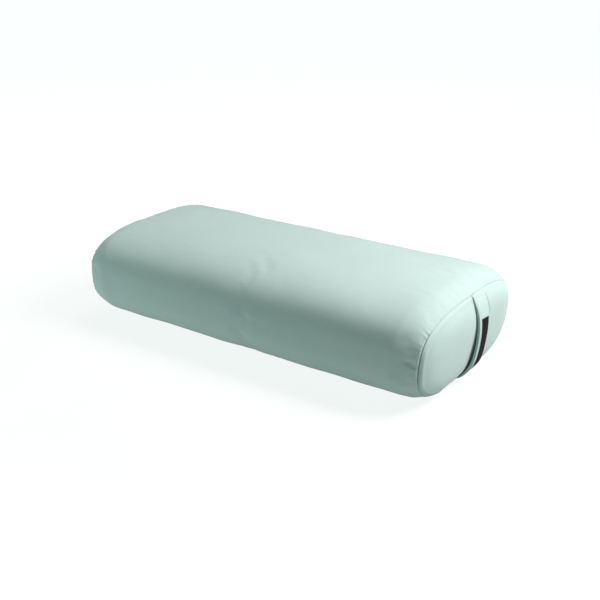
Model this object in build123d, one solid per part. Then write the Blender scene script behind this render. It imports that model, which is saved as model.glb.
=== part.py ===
"""Rectangular bolster pillow: a zipped cotton cover with a strap handle, a liner, and cotton batting inside.

Units are millimetres. X runs along the bolster with the handle's end at +X, Y runs across it, and Z is up.
The origin is the middle of the flat underside. The zipper is on the back, which faces +Y.
Every fabric layer is a parallel offset of one outer form, so the layers nest with even gaps.
"""
from build123d import *
import math
import os

# Outer form of the filled cover
BODY_LENGTH = 646.0
BODY_WIDTH = 305.0
BODY_HEIGHT = 160.0
WIDEST_HEIGHT = 82.5
CROWN_RADIUS = 620.0
END_RADIUS_ACROSS = 900.0
END_RADIUS_UPRIGHT = 225.0
END_ROUNDING = 26.0

# Seams between the wrap and the end panels: each seam plane leans outwards at the top
SEAM_FROM_END = 13.0
SEAM_LEAN = 4.5

# Depths of the layers below the outer surface
COVER_INNER = 1.2
SEAM_RIB = (1.4, 2.6)
SEAM_RIB_WIDTH = 4.0
LINER = (4.5, 5.3)
LINER_RIB = (5.5, 6.3)
BATTING_OUTER = 6.8
BATTING_INNER = 18.8
LAYER_GAP = 0.3
LAYER_COUNT = 6
END_PAD_THICKNESS = 22.0

# Strap handle, drawn as a band about an axis parallel to Y
STRAP_WIDTH = 38.0
STRAP_THICKNESS = 3.0
STRAP_RADIUS = 118.0
STRAP_STANDOFF = 9.4
STRAP_MIDDLE_HEIGHT = 76.0
STRAP_TOP_ANGLE = 30.0
STRAP_BOTTOM_ANGLE = -35.0
STRAP_OFFSET = 12.0
STRAP_SKEW = 5.0
STRAP_STITCH_INSET = 3.5
LABEL_WIDTH = 24.0
LABEL_ANGLES = (-18.5, 17.5)
LABEL_THICKNESS = 0.6
LABEL_STITCH_INSET = 1.6
THREAD_WIDTH = 0.6
THREAD_HEIGHT = 0.4
CONTACT_GAP = 0.05

# Zipper, at the widest height of the back
SLOT_HALF_LENGTH = 262.0
SLOT_HALF_WIDTH = 6.0
TAPE = (1.3, 1.9)
TAPE_HALF_WIDTH = 14.8
COIL = (-0.45, 1.25)
COIL_HALF_WIDTH = 3.2
CHAIN_HALF_GAP = 0.8
COIL_HALF_LENGTH = 254.0
STOP_LENGTH = 3.0
SLIDER_X = 246.0
SLIDER_LENGTH = 13.0
SLIDER_FRONT_WIDTH = 10.0
SLIDER_REAR_WIDTH = 7.6
TOP_PLATE = (0.75, 1.95)
BOTTOM_PLATE = (-3.4, -2.3)
POST_WIDTH = 1.0
POST_LENGTH = 3.5
FLANGE_DEPTH = 1.6
FLANGE_WIDTH = 0.8
BAIL_WIDTH = 2.0
BAIL_REACH = 2.9
BAIL_WALL = 1.0
BAIL_HEIGHT = 2.75
PIN_RADIUS = 0.6
PIN_CLEARANCE = 0.3
TAB_EYE_HALF_WIDTH = 1.3
TAB_RAIL_WIDTH = 1.2
TAB_EYE_LENGTH = 4.0
TAB_WIDTH = 8.0
TAB_LENGTH = 25.0
TAB_HOLE = (3.0, 9.0)
ZIP_STITCH_FROM_SLOT = 3.0

# Sewn-in labels between the cover and the liner
CARE_LABEL_DEPTH = (2.2, 2.6)
LINER_LABEL_DEPTH = (4.0, 4.4)

# Values that follow from the ones above
HALF_LENGTH = BODY_LENGTH / 2
HALF_WIDTH = BODY_WIDTH / 2
FLAT_HALF_WIDTH = HALF_WIDTH - WIDEST_HEIGHT
CROWN_CENTRE_Z = BODY_HEIGHT - CROWN_RADIUS
CROWN_DROP = WIDEST_HEIGHT - CROWN_CENTRE_Z
SHOULDER_RADIUS = (CROWN_RADIUS**2 - HALF_WIDTH**2 - CROWN_DROP**2) / (2 * (CROWN_RADIUS - HALF_WIDTH))
SHOULDER_Y = HALF_WIDTH - SHOULDER_RADIUS
SHOULDER_ANGLE = math.degrees(math.atan2(CROWN_DROP, SHOULDER_Y))
SEAM_X = HALF_LENGTH - SEAM_FROM_END
STRAP_AXIS_X = HALF_LENGTH + STRAP_STANDOFF - STRAP_RADIUS + STRAP_THICKNESS / 2
STRAP_OUTER = STRAP_RADIUS + STRAP_THICKNESS / 2
LABEL_INNER = STRAP_OUTER + CONTACT_GAP
LABEL_OUTER = LABEL_INNER + LABEL_THICKNESS
FAR = 1000.0


# The outer form and its parallel offsets

def section(inset):
    """Cross-section at a depth of inset: flat base, round lower corners, shoulders and a crowned top."""
    lower = WIDEST_HEIGHT - inset
    shoulder = SHOULDER_RADIUS - inset
    crown = CROWN_RADIUS - inset
    turn = 180 - 2 * SHOULDER_ANGLE
    edges = [
        Line((-FLAT_HALF_WIDTH, inset), (FLAT_HALF_WIDTH, inset)),
        CenterArc((FLAT_HALF_WIDTH, WIDEST_HEIGHT), lower, -90, 90),
        CenterArc((SHOULDER_Y, WIDEST_HEIGHT), shoulder, 0, SHOULDER_ANGLE),
        CenterArc((0, CROWN_CENTRE_Z), crown, SHOULDER_ANGLE, turn),
        CenterArc((-SHOULDER_Y, WIDEST_HEIGHT), shoulder, 180 - SHOULDER_ANGLE, SHOULDER_ANGLE),
        CenterArc((-FLAT_HALF_WIDTH, WIDEST_HEIGHT), lower, 180, 90),
    ]
    return Plane.YZ * make_face(edges)


def crowned_end(inset):
    """A solid whose +X side is the crowned end panel: an upright arc turned about a distant vertical axis."""
    reach = HALF_LENGTH - inset
    radius = END_RADIUS_UPRIGHT - inset
    axis_x = HALF_LENGTH - END_RADIUS_ACROSS
    spread = 45
    middle = BODY_HEIGHT / 2
    arc = CenterArc((reach - radius, middle), radius, -spread, 2 * spread)
    low, high = arc @ 0, arc @ 1
    edges = [arc, Line(high, (axis_x, high.Y)), Line((axis_x, high.Y), (axis_x, low.Y)), Line((axis_x, low.Y), low)]
    profile = Plane.XZ * make_face(edges)
    return revolve(profile, Axis((axis_x, 0, 0), (0, 0, 1)))


def form(inset):
    """The whole closed form at a depth of inset below the cover's outer surface."""
    bar = extrude(section(inset), HALF_LENGTH, both=True)
    cap = crowned_end(inset)
    solid = bar & cap & mirror(cap, Plane.YZ)
    end_faces = [solid.faces().sort_by(Axis.X)[-1], solid.faces().sort_by(Axis.X)[0]]
    rims = [edge for face in end_faces for edge in face.edges()]
    return fillet(rims, END_ROUNDING - inset)


def beyond_seam(shift=0.0):
    """Everything past the front seam plane, moved along X by shift."""
    block = Box(FAR, FAR, FAR, align=(Align.MIN, Align.CENTER, Align.CENTER))
    return Pos(SEAM_X + shift, 0, BODY_HEIGHT / 2) * Rot(Y=SEAM_LEAN) * block


def front_half(shape, shift=0.0):
    return shape & beyond_seam(shift)


def rear(shape):
    return mirror(shape, Plane.YZ)


def middle_part(shape, shift=0.0):
    return shape - beyond_seam(shift) - rear(beyond_seam(shift))


def seam_rib(depths, shift):
    """A narrow ring just inside a seam: the overlocked seam allowance and its thread."""
    skin = form(depths[0]) - form(depths[1])
    half = SEAM_RIB_WIDTH / 2
    return (skin & beyond_seam(shift - half)) - beyond_seam(shift + half)


# Pieces laid along the zipper, which all follow the back of the section

def back_band(depths, x_range, z_range):
    """A strip of the back between two depths, cut to a range of X and of heights about the zipper."""
    ring = section(depths[0]) - section(depths[1])
    length = x_range[1] - x_range[0]
    strip = Pos(x_range[0], 0, 0) * extrude(ring, length)
    height = z_range[1] - z_range[0]
    window = Box(FAR, HALF_WIDTH, height, align=(Align.CENTER, Align.MIN, Align.MIN))
    return strip & (Pos(0, HALF_WIDTH / 2, WIDEST_HEIGHT + z_range[0]) * window)


def above_and_below(depths, half_length, inner, outer):
    """The upper and the lower of two mirrored strips along the zipper."""
    x_range = (-half_length, half_length)
    return back_band(depths, x_range, (inner, outer)), back_band(depths, x_range, (-outer, -inner))


def on_back(shape, x=SLIDER_X):
    """Move a shape drawn about the zipper's line to the back: its local Z becomes outward."""
    return Plane((x, HALF_WIDTH, WIDEST_HEIGHT), x_dir=(1, 0, 0), z_dir=(0, 1, 0)) * shape


# Cover

def cover_parts():
    skin = form(0) - form(COVER_INNER)
    slot = Box(2 * SLOT_HALF_LENGTH, HALF_WIDTH, 2 * SLOT_HALF_WIDTH, align=(Align.CENTER, Align.MIN, Align.CENTER))
    wrap = middle_part(skin) - Pos(0, HALF_WIDTH / 2, WIDEST_HEIGHT) * slot
    end = front_half(skin)
    rib = seam_rib(SEAM_RIB, 0)
    closing = back_band((1.4, 2.2), (SLOT_HALF_LENGTH + 8, SLOT_HALF_LENGTH + 21), (-1.5, 1.5))
    return {
        "cover_wrap": wrap,
        "cover_end_front": end,
        "cover_end_rear": rear(end),
        "end_seam_thread_front": rib,
        "end_seam_thread_rear": rear(rib),
        "closing_seam_threads": Compound(children=[closing, rear(closing)]),
        "care_label": back_band(CARE_LABEL_DEPTH, (190, 215), (24, 64)),
    }


# Liner and filling

def liner_parts():
    skin = form(LINER[0]) - form(LINER[1])
    shift = -LINER[0]
    end = front_half(skin, shift)
    rib = seam_rib(LINER_RIB, shift)
    return {
        "liner_wrap": middle_part(skin, shift),
        "liner_end_front": end,
        "liner_end_rear": rear(end),
        "liner_seam_thread_front": rib,
        "liner_seam_thread_rear": rear(rib),
        "liner_closing_stitches": back_band((3.9, 4.3), (-90, 90), (-38.6, -37.8)),
        "liner_label": back_band(LINER_LABEL_DEPTH, (-230, -190), (24, 54)),
    }


def batting_parts():
    outer = form(BATTING_OUTER)
    inner = form(BATTING_INNER)
    pad_shift = -END_PAD_THICKNESS
    pad = front_half(outer, pad_shift)
    wrap = middle_part(outer, pad_shift - LAYER_GAP) - inner
    core = middle_part(form(BATTING_INNER + LAYER_GAP), pad_shift - LAYER_GAP)
    bottom = BATTING_INNER + LAYER_GAP
    pitch = (BODY_HEIGHT - 2 * bottom) / LAYER_COUNT
    for number in range(1, LAYER_COUNT):
        core = core - Pos(0, 0, bottom + number * pitch) * Box(FAR, FAR, LAYER_GAP)
    parts = {"batting_wrap": wrap, "batting_end_pad_front": pad, "batting_end_pad_rear": rear(pad)}
    for number, layer in enumerate(core.solids().sort_by(Axis.Z), start=1):
        parts[f"batting_layer_{number}"] = layer
    return parts


# Handle

def strap_band(width, inner, outer, angles):
    """A band about the strap's axis, centred on the strap's middle line."""
    span = angles[1] - angles[0]
    far_arc = CenterArc((0, 0), outer, angles[0], span)
    near_arc = CenterArc((0, 0), inner, angles[0], span)
    face = make_face([far_arc, near_arc, Line(far_arc @ 0, near_arc @ 0), Line(far_arc @ 1, near_arc @ 1)])
    return extrude(Plane.XZ * face, width / 2, both=True)


def on_end(shape):
    """Put a shape drawn about the strap's axis where the handle sits on the end panel."""
    return Pos(STRAP_AXIS_X, STRAP_OFFSET, STRAP_MIDDLE_HEIGHT) * Rot(X=-STRAP_SKEW) * shape


def thread_lines(surface, half_spread, angles):
    """Two lines of thread on the strap, one each side of its middle line."""
    line = strap_band(THREAD_WIDTH, surface, surface + THREAD_HEIGHT, angles)
    return [Pos(0, half_spread, 0) * line, Pos(0, -half_spread, 0) * line]


def label_stitches():
    surface = LABEL_OUTER + CONTACT_GAP
    inset = math.degrees(LABEL_STITCH_INSET / surface)
    ends = (LABEL_ANGLES[0] + inset, LABEL_ANGLES[1] - inset)
    half_spread = LABEL_WIDTH / 2 - LABEL_STITCH_INSET
    turn = math.degrees(THREAD_WIDTH / surface)
    across = 2 * (half_spread - THREAD_WIDTH)
    cross = [strap_band(across, surface, surface + THREAD_HEIGHT, (end - turn / 2, end + turn / 2)) for end in ends]
    return thread_lines(surface, half_spread, ends) + cross


def handle_parts():
    strap_angles = (STRAP_BOTTOM_ANGLE, STRAP_TOP_ANGLE)
    strap = strap_band(STRAP_WIDTH, STRAP_OUTER - STRAP_THICKNESS, STRAP_OUTER, strap_angles)
    half_spread = STRAP_WIDTH / 2 - STRAP_STITCH_INSET
    stitches = thread_lines(STRAP_OUTER + CONTACT_GAP, half_spread, strap_angles)
    return {
        "handle_strap": on_end(strap),
        "handle_topstitching": on_end(Compound(children=stitches)),
        "handle_label": on_end(strap_band(LABEL_WIDTH, LABEL_INNER, LABEL_OUTER, LABEL_ANGLES)),
        "label_stitching": on_end(Compound(children=label_stitches())),
    }


# Zipper

def slider():
    """Slider drawn about the zipper's line: two tapered plates, a post between them, flanges and a bail."""
    half = SLIDER_LENGTH / 2
    front, rear_end = SLIDER_FRONT_WIDTH / 2, SLIDER_REAR_WIDTH / 2
    outline = make_face(Polyline((half, front), (half, -front), (-half, -rear_end), (-half, rear_end), close=True))
    outline = fillet(outline.vertices(), 1.5)
    top = Pos(0, 0, TOP_PLATE[0]) * extrude(outline, TOP_PLATE[1] - TOP_PLATE[0])
    bottom = Pos(0, 0, BOTTOM_PLATE[0]) * extrude(outline, BOTTOM_PLATE[1] - BOTTOM_PLATE[0])
    rim = extrude(outline - offset(outline, -FLANGE_WIDTH), FLANGE_DEPTH)
    sides = Box(SLIDER_LENGTH - 4, SLIDER_FRONT_WIDTH, FAR)
    flange = (Pos(0, 0, TOP_PLATE[0] - FLANGE_DEPTH) * rim) & sides
    post_height = TOP_PLATE[0] - BOTTOM_PLATE[1]
    post = Box(POST_LENGTH, POST_WIDTH, post_height, align=(Align.MAX, Align.CENTER, Align.MIN))
    bail = Box(2 * BAIL_REACH, BAIL_WIDTH, BAIL_HEIGHT, align=(Align.CENTER, Align.CENTER, Align.MIN))
    bail = fillet(bail.edges().filter_by(Axis.Y).group_by(Axis.Z)[-1], 1.2)
    window_height = BAIL_HEIGHT - 0.8
    window = Box(2 * (BAIL_REACH - BAIL_WALL), FAR, window_height, align=(Align.CENTER, Align.CENTER, Align.MIN))
    bail = bail - window
    return top + bottom + flange + Pos(half - 0.5, 0, BOTTOM_PLATE[1]) * post + Pos(0, 0, TOP_PLATE[1]) * bail


def pull_tab():
    """Flat pull tab whose pin lies under the bail; the tab points to -X at rest."""
    pin_height = TOP_PLATE[1] + PIN_CLEARANCE + PIN_RADIUS
    half_eye = TAB_EYE_HALF_WIDTH + TAB_RAIL_WIDTH
    pin = Rot(X=90) * Cylinder(PIN_RADIUS, 2 * half_eye)
    blade_length = TAB_LENGTH - TAB_EYE_LENGTH
    blade = Pos(-TAB_EYE_LENGTH - blade_length / 2, 0) * RectangleRounded(blade_length, TAB_WIDTH, 2.5)
    rail = Pos(-TAB_EYE_LENGTH / 2 - 0.25, 0) * Rectangle(TAB_EYE_LENGTH + 0.5, 2 * half_eye)
    eye = Pos(-TAB_EYE_LENGTH / 2, 0) * Rectangle(TAB_EYE_LENGTH, 2 * TAB_EYE_HALF_WIDTH)
    hole = Pos(-TAB_LENGTH + 3 + TAB_HOLE[1] / 2, 0) * SlotOverall(TAB_HOLE[1], TAB_HOLE[0])
    plate = extrude(blade + rail - eye - hole, PIN_RADIUS, both=True)
    return Pos(0, 0, pin_height) * (plate + pin)


def zipper_parts():
    tape_upper, tape_lower = above_and_below(TAPE, SLOT_HALF_LENGTH + 6, CHAIN_HALF_GAP, TAPE_HALF_WIDTH)
    coil_upper, coil_lower = above_and_below(COIL, COIL_HALF_LENGTH, CHAIN_HALF_GAP, COIL_HALF_WIDTH)
    stitch_at = SLOT_HALF_WIDTH + ZIP_STITCH_FROM_SLOT
    stitch_depths = (-THREAD_HEIGHT, -CONTACT_GAP / 2)
    stitch_upper, stitch_lower = above_and_below(
        stitch_depths, SLOT_HALF_LENGTH, stitch_at, stitch_at + THREAD_WIDTH
    )
    stop_range = (COIL_HALF_LENGTH + 0.5, COIL_HALF_LENGTH + 0.5 + STOP_LENGTH)
    stop_outer = COIL_HALF_WIDTH + 0.3
    stops = [back_band(COIL, stop_range, z) for z in ((CHAIN_HALF_GAP, stop_outer), (-stop_outer, -CHAIN_HALF_GAP))]
    bottom_stop = rear(back_band(COIL, stop_range, (-stop_outer, stop_outer)))
    tack_range = (SLOT_HALF_LENGTH + 0.6, SLOT_HALF_LENGTH + 2.6)
    tack = back_band((-0.6, -CONTACT_GAP / 2), tack_range, (-SLOT_HALF_WIDTH, SLOT_HALF_WIDTH))
    return {
        "zipper_tape_upper": tape_upper,
        "zipper_tape_lower": tape_lower,
        "zipper_coil_upper": coil_upper,
        "zipper_coil_lower": coil_lower,
        "zipper_stitching_upper": stitch_upper,
        "zipper_stitching_lower": stitch_lower,
        "zipper_top_stops": Compound(children=stops),
        "zipper_bottom_stop": bottom_stop,
        "zipper_bartacks": Compound(children=[tack, rear(tack)]),
        "zipper_slider": on_back(slider()),
        "zipper_pull_tab": on_back(pull_tab()),
    }


os.makedirs("parts", exist_ok=True)
ALL_PARTS = {**cover_parts(), **handle_parts(), **zipper_parts(), **liner_parts(), **batting_parts()}
for node, shape in ALL_PARTS.items():
    export_step(shape, f"parts/{node}.step")
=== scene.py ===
"""Looks for the bolster pillow: inflated cotton cover, strap handle, zipper, liner and batting.

All lengths are in metres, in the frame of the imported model: X along the bolster with the handle at +X,
Y across it with the zipper at +Y, and Z up from the flat underside.
"""
import math

import bmesh
import bpy
import numpy as np
from mathutils import Matrix, Vector, kdtree
from mathutils.bvhtree import BVHTree


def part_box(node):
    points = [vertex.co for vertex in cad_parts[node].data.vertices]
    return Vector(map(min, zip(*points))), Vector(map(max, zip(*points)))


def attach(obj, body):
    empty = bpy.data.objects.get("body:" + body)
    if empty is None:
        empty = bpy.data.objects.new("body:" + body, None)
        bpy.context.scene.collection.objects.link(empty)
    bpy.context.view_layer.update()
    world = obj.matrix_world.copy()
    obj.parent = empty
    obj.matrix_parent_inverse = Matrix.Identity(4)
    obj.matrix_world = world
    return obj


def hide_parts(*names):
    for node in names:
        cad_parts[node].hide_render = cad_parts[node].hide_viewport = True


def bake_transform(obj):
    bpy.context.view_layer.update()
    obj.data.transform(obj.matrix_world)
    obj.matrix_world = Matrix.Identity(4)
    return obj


MM = 0.001
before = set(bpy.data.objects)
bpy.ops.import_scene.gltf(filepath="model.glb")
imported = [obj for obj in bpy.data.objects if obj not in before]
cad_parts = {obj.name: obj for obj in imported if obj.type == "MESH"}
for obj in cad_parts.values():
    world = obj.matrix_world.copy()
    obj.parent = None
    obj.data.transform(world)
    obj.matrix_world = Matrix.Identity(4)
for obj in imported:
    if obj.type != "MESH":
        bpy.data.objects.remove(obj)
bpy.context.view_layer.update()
WRAP_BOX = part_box("cover_wrap")
END_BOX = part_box("cover_end_front")
SLIDER_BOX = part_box("zipper_slider")
TACK_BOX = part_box("zipper_bartacks")
COIL_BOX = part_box("zipper_coil_upper")

# ---------------------------------------------------------------- driving dimensions

# Section of the filled cover: a superellipse with its own exponent above and below the widest height
HALF_WIDTH = WRAP_BOX[1][1]
HEIGHT = WRAP_BOX[1][2]
END_X = END_BOX[1][0]
WIDEST = 0.51 * HEIGHT
TOP_EXPONENT = 3.02
BOTTOM_EXPONENT = 2.55

# The wrap rounds over towards each end: a quarter ellipse, ROUND_LENGTH long and ROUND_INSET deep
ROUND_START = END_X - 51.1 * MM
ROUND_LENGTH = 42.3 * MM
ROUND_INSET = 18.7 * MM
TOP_ROUND_FACTOR = 1.59
BOTTOM_ROUND_FACTOR = 0.5
SEAM_TURN = math.radians(68.5)
SEAM_LEAN = 6.5 * MM
END_BULGE = 5.0 * MM
BACK_BULGE = 5.5 * MM
BACK_SPREAD = (20 * MM, 115 * MM)
BOTTOM_ARCH = 6.0 * MM
ARCH_FADE = 20 * MM
ARCH_SIDES = (10 * MM, 75 * MM)
SIDE_TAPER = 1.4

# Where the underside meets the floor it flattens out
FLOOR_SINK = 6.0 * MM
FLOOR_FADE = 8.0 * MM
OFF_FLOOR = 15 * MM

# Grid of the simulated cover
CELLS_ACROSS = 64
CELLS_UP = 36
CELLS_ROUND = 12
CELLS_MIDDLE = 64

# Zipper slot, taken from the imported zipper
ZIP_Z = (SLIDER_BOX[0][2] + SLIDER_BOX[1][2]) / 2
SLOT_HALF = 6.0 * MM
SLOT_END = TACK_BOX[1][0] - 2.6 * MM
BESIDE_ZIPPER = (14 * MM, 34 * MM)
PAST_ZIPPER = (SLOT_END + 8 * MM, SLOT_END + 30 * MM)

# Depths of the hidden layers below the cover's surface
SEAM_ALLOWANCE = 6.0 * MM
ALLOWANCE_ROWS = (0.8 * MM, 2.5 * MM, SEAM_ALLOWANCE)
LINER_DEPTHS = (4.5 * MM, 5.3 * MM)
BATTING_DEPTHS = (6.8 * MM, 18.2 * MM)
CORE_DEPTH = 18.6 * MM
LINER_MIDDLE = CELLS_ROUND + CELLS_MIDDLE // 2
LAYER_COUNT = 6
LAYER_GAP = 0.3 * MM

BOTH_ENDS = ((1, "front"), (-1, "rear"))


# ---------------------------------------------------------------- the form of the filled cover

def smooth_step(value, low, high):
    t = np.clip((value - low) / (high - low), 0, 1)
    return t * t * (3 - 2 * t)


def heights(inset, depth):
    """Height of the section above and below its widest level."""
    top = HEIGHT - WIDEST - TOP_ROUND_FACTOR * inset - depth
    bottom = WIDEST - BOTTOM_ROUND_FACTOR * inset - depth
    return top, bottom


def section(phi, inset=0.0, depth=0.0):
    """(y, z) on the section at an angle, rounded over by inset and lying depth below the surface."""
    c, s = np.cos(phi), np.sin(phi)
    power = 2 / np.where(s >= 0, TOP_EXPONENT, BOTTOM_EXPONENT)
    y, z = np.sign(c) * np.abs(c) ** power, np.sign(s) * np.abs(s) ** power
    top, bottom = heights(inset, depth)
    return y * (HALF_WIDTH - inset - depth), WIDEST + z * np.where(z >= 0, top, bottom)


def angle_at(z):
    """Section angle of the back at height z."""
    scaled = np.where(z >= WIDEST, (z - WIDEST) / (HEIGHT - WIDEST), (z - WIDEST) / WIDEST)
    power = np.where(z >= WIDEST, TOP_EXPONENT, BOTTOM_EXPONENT) / 2
    return np.arcsin(np.sign(scaled) * np.abs(scaled) ** power)


def settle(points, depth):
    """Lean the front end outwards at the top, arch its underside, and flatten the rest against the floor."""
    x, z = points[..., 0], points[..., 2] - depth
    lean = SEAM_LEAN * (z - WIDEST) / (HEIGHT / 2) * smooth_step(x, 0.6 * ROUND_START, END_X)
    arch = BOTTOM_ARCH * np.exp(-((z / ARCH_FADE) ** 2))
    arch = arch * smooth_step(x, ROUND_START, ROUND_START + ROUND_LENGTH)
    arch = arch * (1 - smooth_step(np.abs(points[..., 1]), *ARCH_SIDES))
    sink = FLOOR_SINK * np.exp(-((z / FLOOR_FADE) ** 2)) * (1 - smooth_step(np.abs(x), ROUND_START, END_X))
    out = points.copy()
    out[..., 0] = x + lean
    out[..., 2] = depth + np.maximum(z - sink, 0) + arch
    return out


def round_over(turn, depth=0.0):
    """(x, inset) on the quarter ellipse that rounds the wrap over towards an end."""
    x = ROUND_START + (ROUND_LENGTH - depth) * math.sin(turn)
    return x, (ROUND_INSET - depth) * (1 - math.cos(turn))


def column_angles():
    """Section angles of the wrap's columns, evenly spaced on each of four sides between 45 degree corners."""
    fine = np.radians(np.linspace(-45, 315, 7201))
    y, z = section(fine, round_over(SEAM_TURN)[1])
    run = np.concatenate([[0], np.cumsum(np.hypot(np.diff(y), np.diff(z)))])
    angles = []
    for side, cells in enumerate((CELLS_UP, CELLS_ACROSS, CELLS_UP, CELLS_ACROSS)):
        marks = np.linspace(run[side * 1800], run[(side + 1) * 1800], cells + 1)[:-1]
        angles.append(np.interp(marks, run, fine))
    return np.concatenate(angles)


def snap_to_slot(angles):
    """Move the columns nearest the zipper's slot so that two of them lie on its edges."""
    z = section(angles)[1][: CELLS_UP + 1]
    low = int(np.argmin(np.abs(z - (ZIP_Z - SLOT_HALF))))
    high = int(np.argmin(np.abs(z - (ZIP_Z + SLOT_HALF))))
    first, last = low - 4, high + 4
    anchors = [z[first], ZIP_Z - SLOT_HALF, ZIP_Z + SLOT_HALF, z[last]]
    spots = np.arange(first, last + 1)
    out = angles.copy()
    out[spots] = angle_at(np.interp(spots, [first, low, high, last], anchors))
    return out, low, high


ANGLES, SLOT_LOW, SLOT_HIGH = snap_to_slot(column_angles())
COLUMNS = len(ANGLES)
SEAM_X = round_over(SEAM_TURN)[0] + SEAM_LEAN
ON_FRONT_SIDE = smooth_step(-np.cos(ANGLES), 0.55, 0.9)


def wrap_points(depth=0.0):
    """Rows of the wrap from the rear seam to the front seam."""
    turns = np.linspace(0, SEAM_TURN, CELLS_ROUND + 1)[1:]
    ends = [round_over(turn, depth) for turn in turns]
    middle = [(x, 0.0) for x in np.linspace(-ROUND_START, ROUND_START, CELLS_MIDDLE + 1)]
    rows = []
    for x, inset in [(-x, inset) for x, inset in reversed(ends)] + middle + ends:
        y, z = section(ANGLES, inset, depth)
        straight = ends[-1][1] * (max(abs(x) - ROUND_START, 0) / (ends[-1][0] - ROUND_START)) ** SIDE_TAPER
        y = y * (1 - ON_FRONT_SIDE * (straight - inset) / (HALF_WIDTH - inset - depth))
        rows.append(np.stack([np.full_like(y, x), y, z], -1))
    return settle(np.array(rows), depth)


def border(i, j):
    """The wrap's column that a point on an end panel's border shares, for i across and j up."""
    if i == CELLS_ACROSS:
        return j
    if j == CELLS_UP:
        return CELLS_UP + CELLS_ACROSS - i
    if i == 0:
        return 2 * CELLS_UP + CELLS_ACROSS - j
    return (2 * CELLS_UP + CELLS_ACROSS + i) % COLUMNS


def end_grid(seam_row):
    """Indices of an end panel's points: its border shares the seam's, and the rest are left at zero."""
    index = np.zeros((CELLS_ACROSS + 1, CELLS_UP + 1), int)
    for i in range(CELLS_ACROSS + 1):
        for j in range(CELLS_UP + 1):
            if i in (0, CELLS_ACROSS) or j in (0, CELLS_UP):
                index[i, j] = seam_row[border(i, j)]
    return index


def end_points(side, depth=0.0):
    """Grid of an end panel: a Coons patch inside the seam, crowned towards its middle."""
    seam_x, inset = round_over(SEAM_TURN, depth)
    ring = np.stack(section(ANGLES, inset, depth), -1)
    grid = ring[end_grid(np.arange(COLUMNS))]
    u = np.linspace(0, 1, CELLS_ACROSS + 1)[:, None, None]
    v = np.linspace(0, 1, CELLS_UP + 1)[None, :, None]
    left, right, low, high = grid[:1], grid[-1:], grid[:, :1], grid[:, -1:]
    first, last = ((1 - v) * grid[row, 0] + v * grid[row, -1] for row in (0, -1))
    corners = (1 - u) * first + u * last
    grid = (1 - u) * left + u * right + (1 - v) * low + v * high - corners
    y, z = grid[..., 0], grid[..., 1] - WIDEST
    above = z >= 0
    top, bottom = heights(inset, depth)
    half_y, half_z = HALF_WIDTH - inset - depth, np.where(above, top, bottom)
    power = np.where(above, TOP_EXPONENT, BOTTOM_EXPONENT)
    out = np.clip((np.abs(y) / half_y) ** power + (np.abs(z) / half_z) ** power, 0, 1) ** (1 / power)
    upright = np.abs(z) / (np.abs(z) + np.abs(y) * half_z / half_y + 1e-9)
    factor = 1 + upright * (np.where(above, TOP_ROUND_FACTOR, BOTTOM_ROUND_FACTOR) - 1)
    reach = half_y + upright * (half_z - half_y)
    slope = ROUND_LENGTH / ROUND_INSET / math.tan(SEAM_TURN) / factor
    crown = END_X - depth - seam_x
    steepness = np.clip(slope * reach / crown, 2.2, 9 - 4 * upright)
    x = side * (seam_x + crown * (1 - out ** steepness) + END_BULGE * (1 - out ** 2) ** 1.5)
    x = x + side * BACK_BULGE * (1 - out ** 8) * smooth_step(y, *BACK_SPREAD)
    return settle(np.stack([x, y, z + WIDEST], -1), depth)


def numbered(grid, start=0):
    """Index of each point of a grid, counted on from start."""
    return start + np.arange(grid[..., 0].size).reshape(grid.shape[:2])


def rim_of(index):
    """The border of an index grid, once round."""
    return np.concatenate([index[:-1, 0], index[-1, :-1], index[:0:-1, -1], index[0, :0:-1]])


def unit(vectors):
    return vectors / np.linalg.norm(vectors, axis=-1, keepdims=True)


def cells(grid, flip=False):
    """The four corner values of each cell of a grid, in face order."""
    a, b, c, d = grid[:-1, :-1], grid[:-1, 1:], grid[1:, 1:], grid[1:, :-1]
    order = (a, d, c, b) if flip else (a, b, c, d)
    return np.stack(order, 2).reshape(-1, 4, *grid.shape[2:])


def joined(grid):
    """A grid with its first column repeated at the end, so that its cells close up."""
    return np.concatenate([grid, grid[:, :1]], 1)


def capped(index):
    """Faces of a closed-ended tube, from the index grid of its rings."""
    return cells(joined(index)).tolist() + [index[0, ::-1].tolist(), index[-1].tolist()]


def cover_grid():
    """The closed cover's points and quads, with the seams shared, and the index grids of its three pieces."""
    wrap = wrap_points()
    wrap_index = numbered(wrap)
    points = [wrap.reshape(-1, 3)]
    total = wrap_index.size
    ends = {}
    for side, row in ((1, wrap_index[-1]), (-1, wrap_index[0])):
        index = end_grid(row)
        inner = end_points(side)[1:-1, 1:-1]
        index[1:-1, 1:-1] = numbered(inner, total)
        total += inner[..., 0].size
        points.append(inner.reshape(-1, 3))
        ends[side] = index
    quads = np.concatenate([cells(joined(wrap_index)), cells(ends[1], True), cells(ends[-1])])
    return np.concatenate(points), quads, wrap_index, ends


# ---------------------------------------------------------------- mesh helpers

def vertex_normals(points, quads):
    """Area-weighted vertex normals of a quad mesh."""
    p = points[quads]
    face = np.cross(p[:, 2] - p[:, 0], p[:, 3] - p[:, 1])
    normals = np.zeros_like(points)
    for corner in range(4):
        np.add.at(normals, quads[:, corner], face)
    return normals / (np.linalg.norm(normals, axis=1, keepdims=True) + 1e-12)


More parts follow.
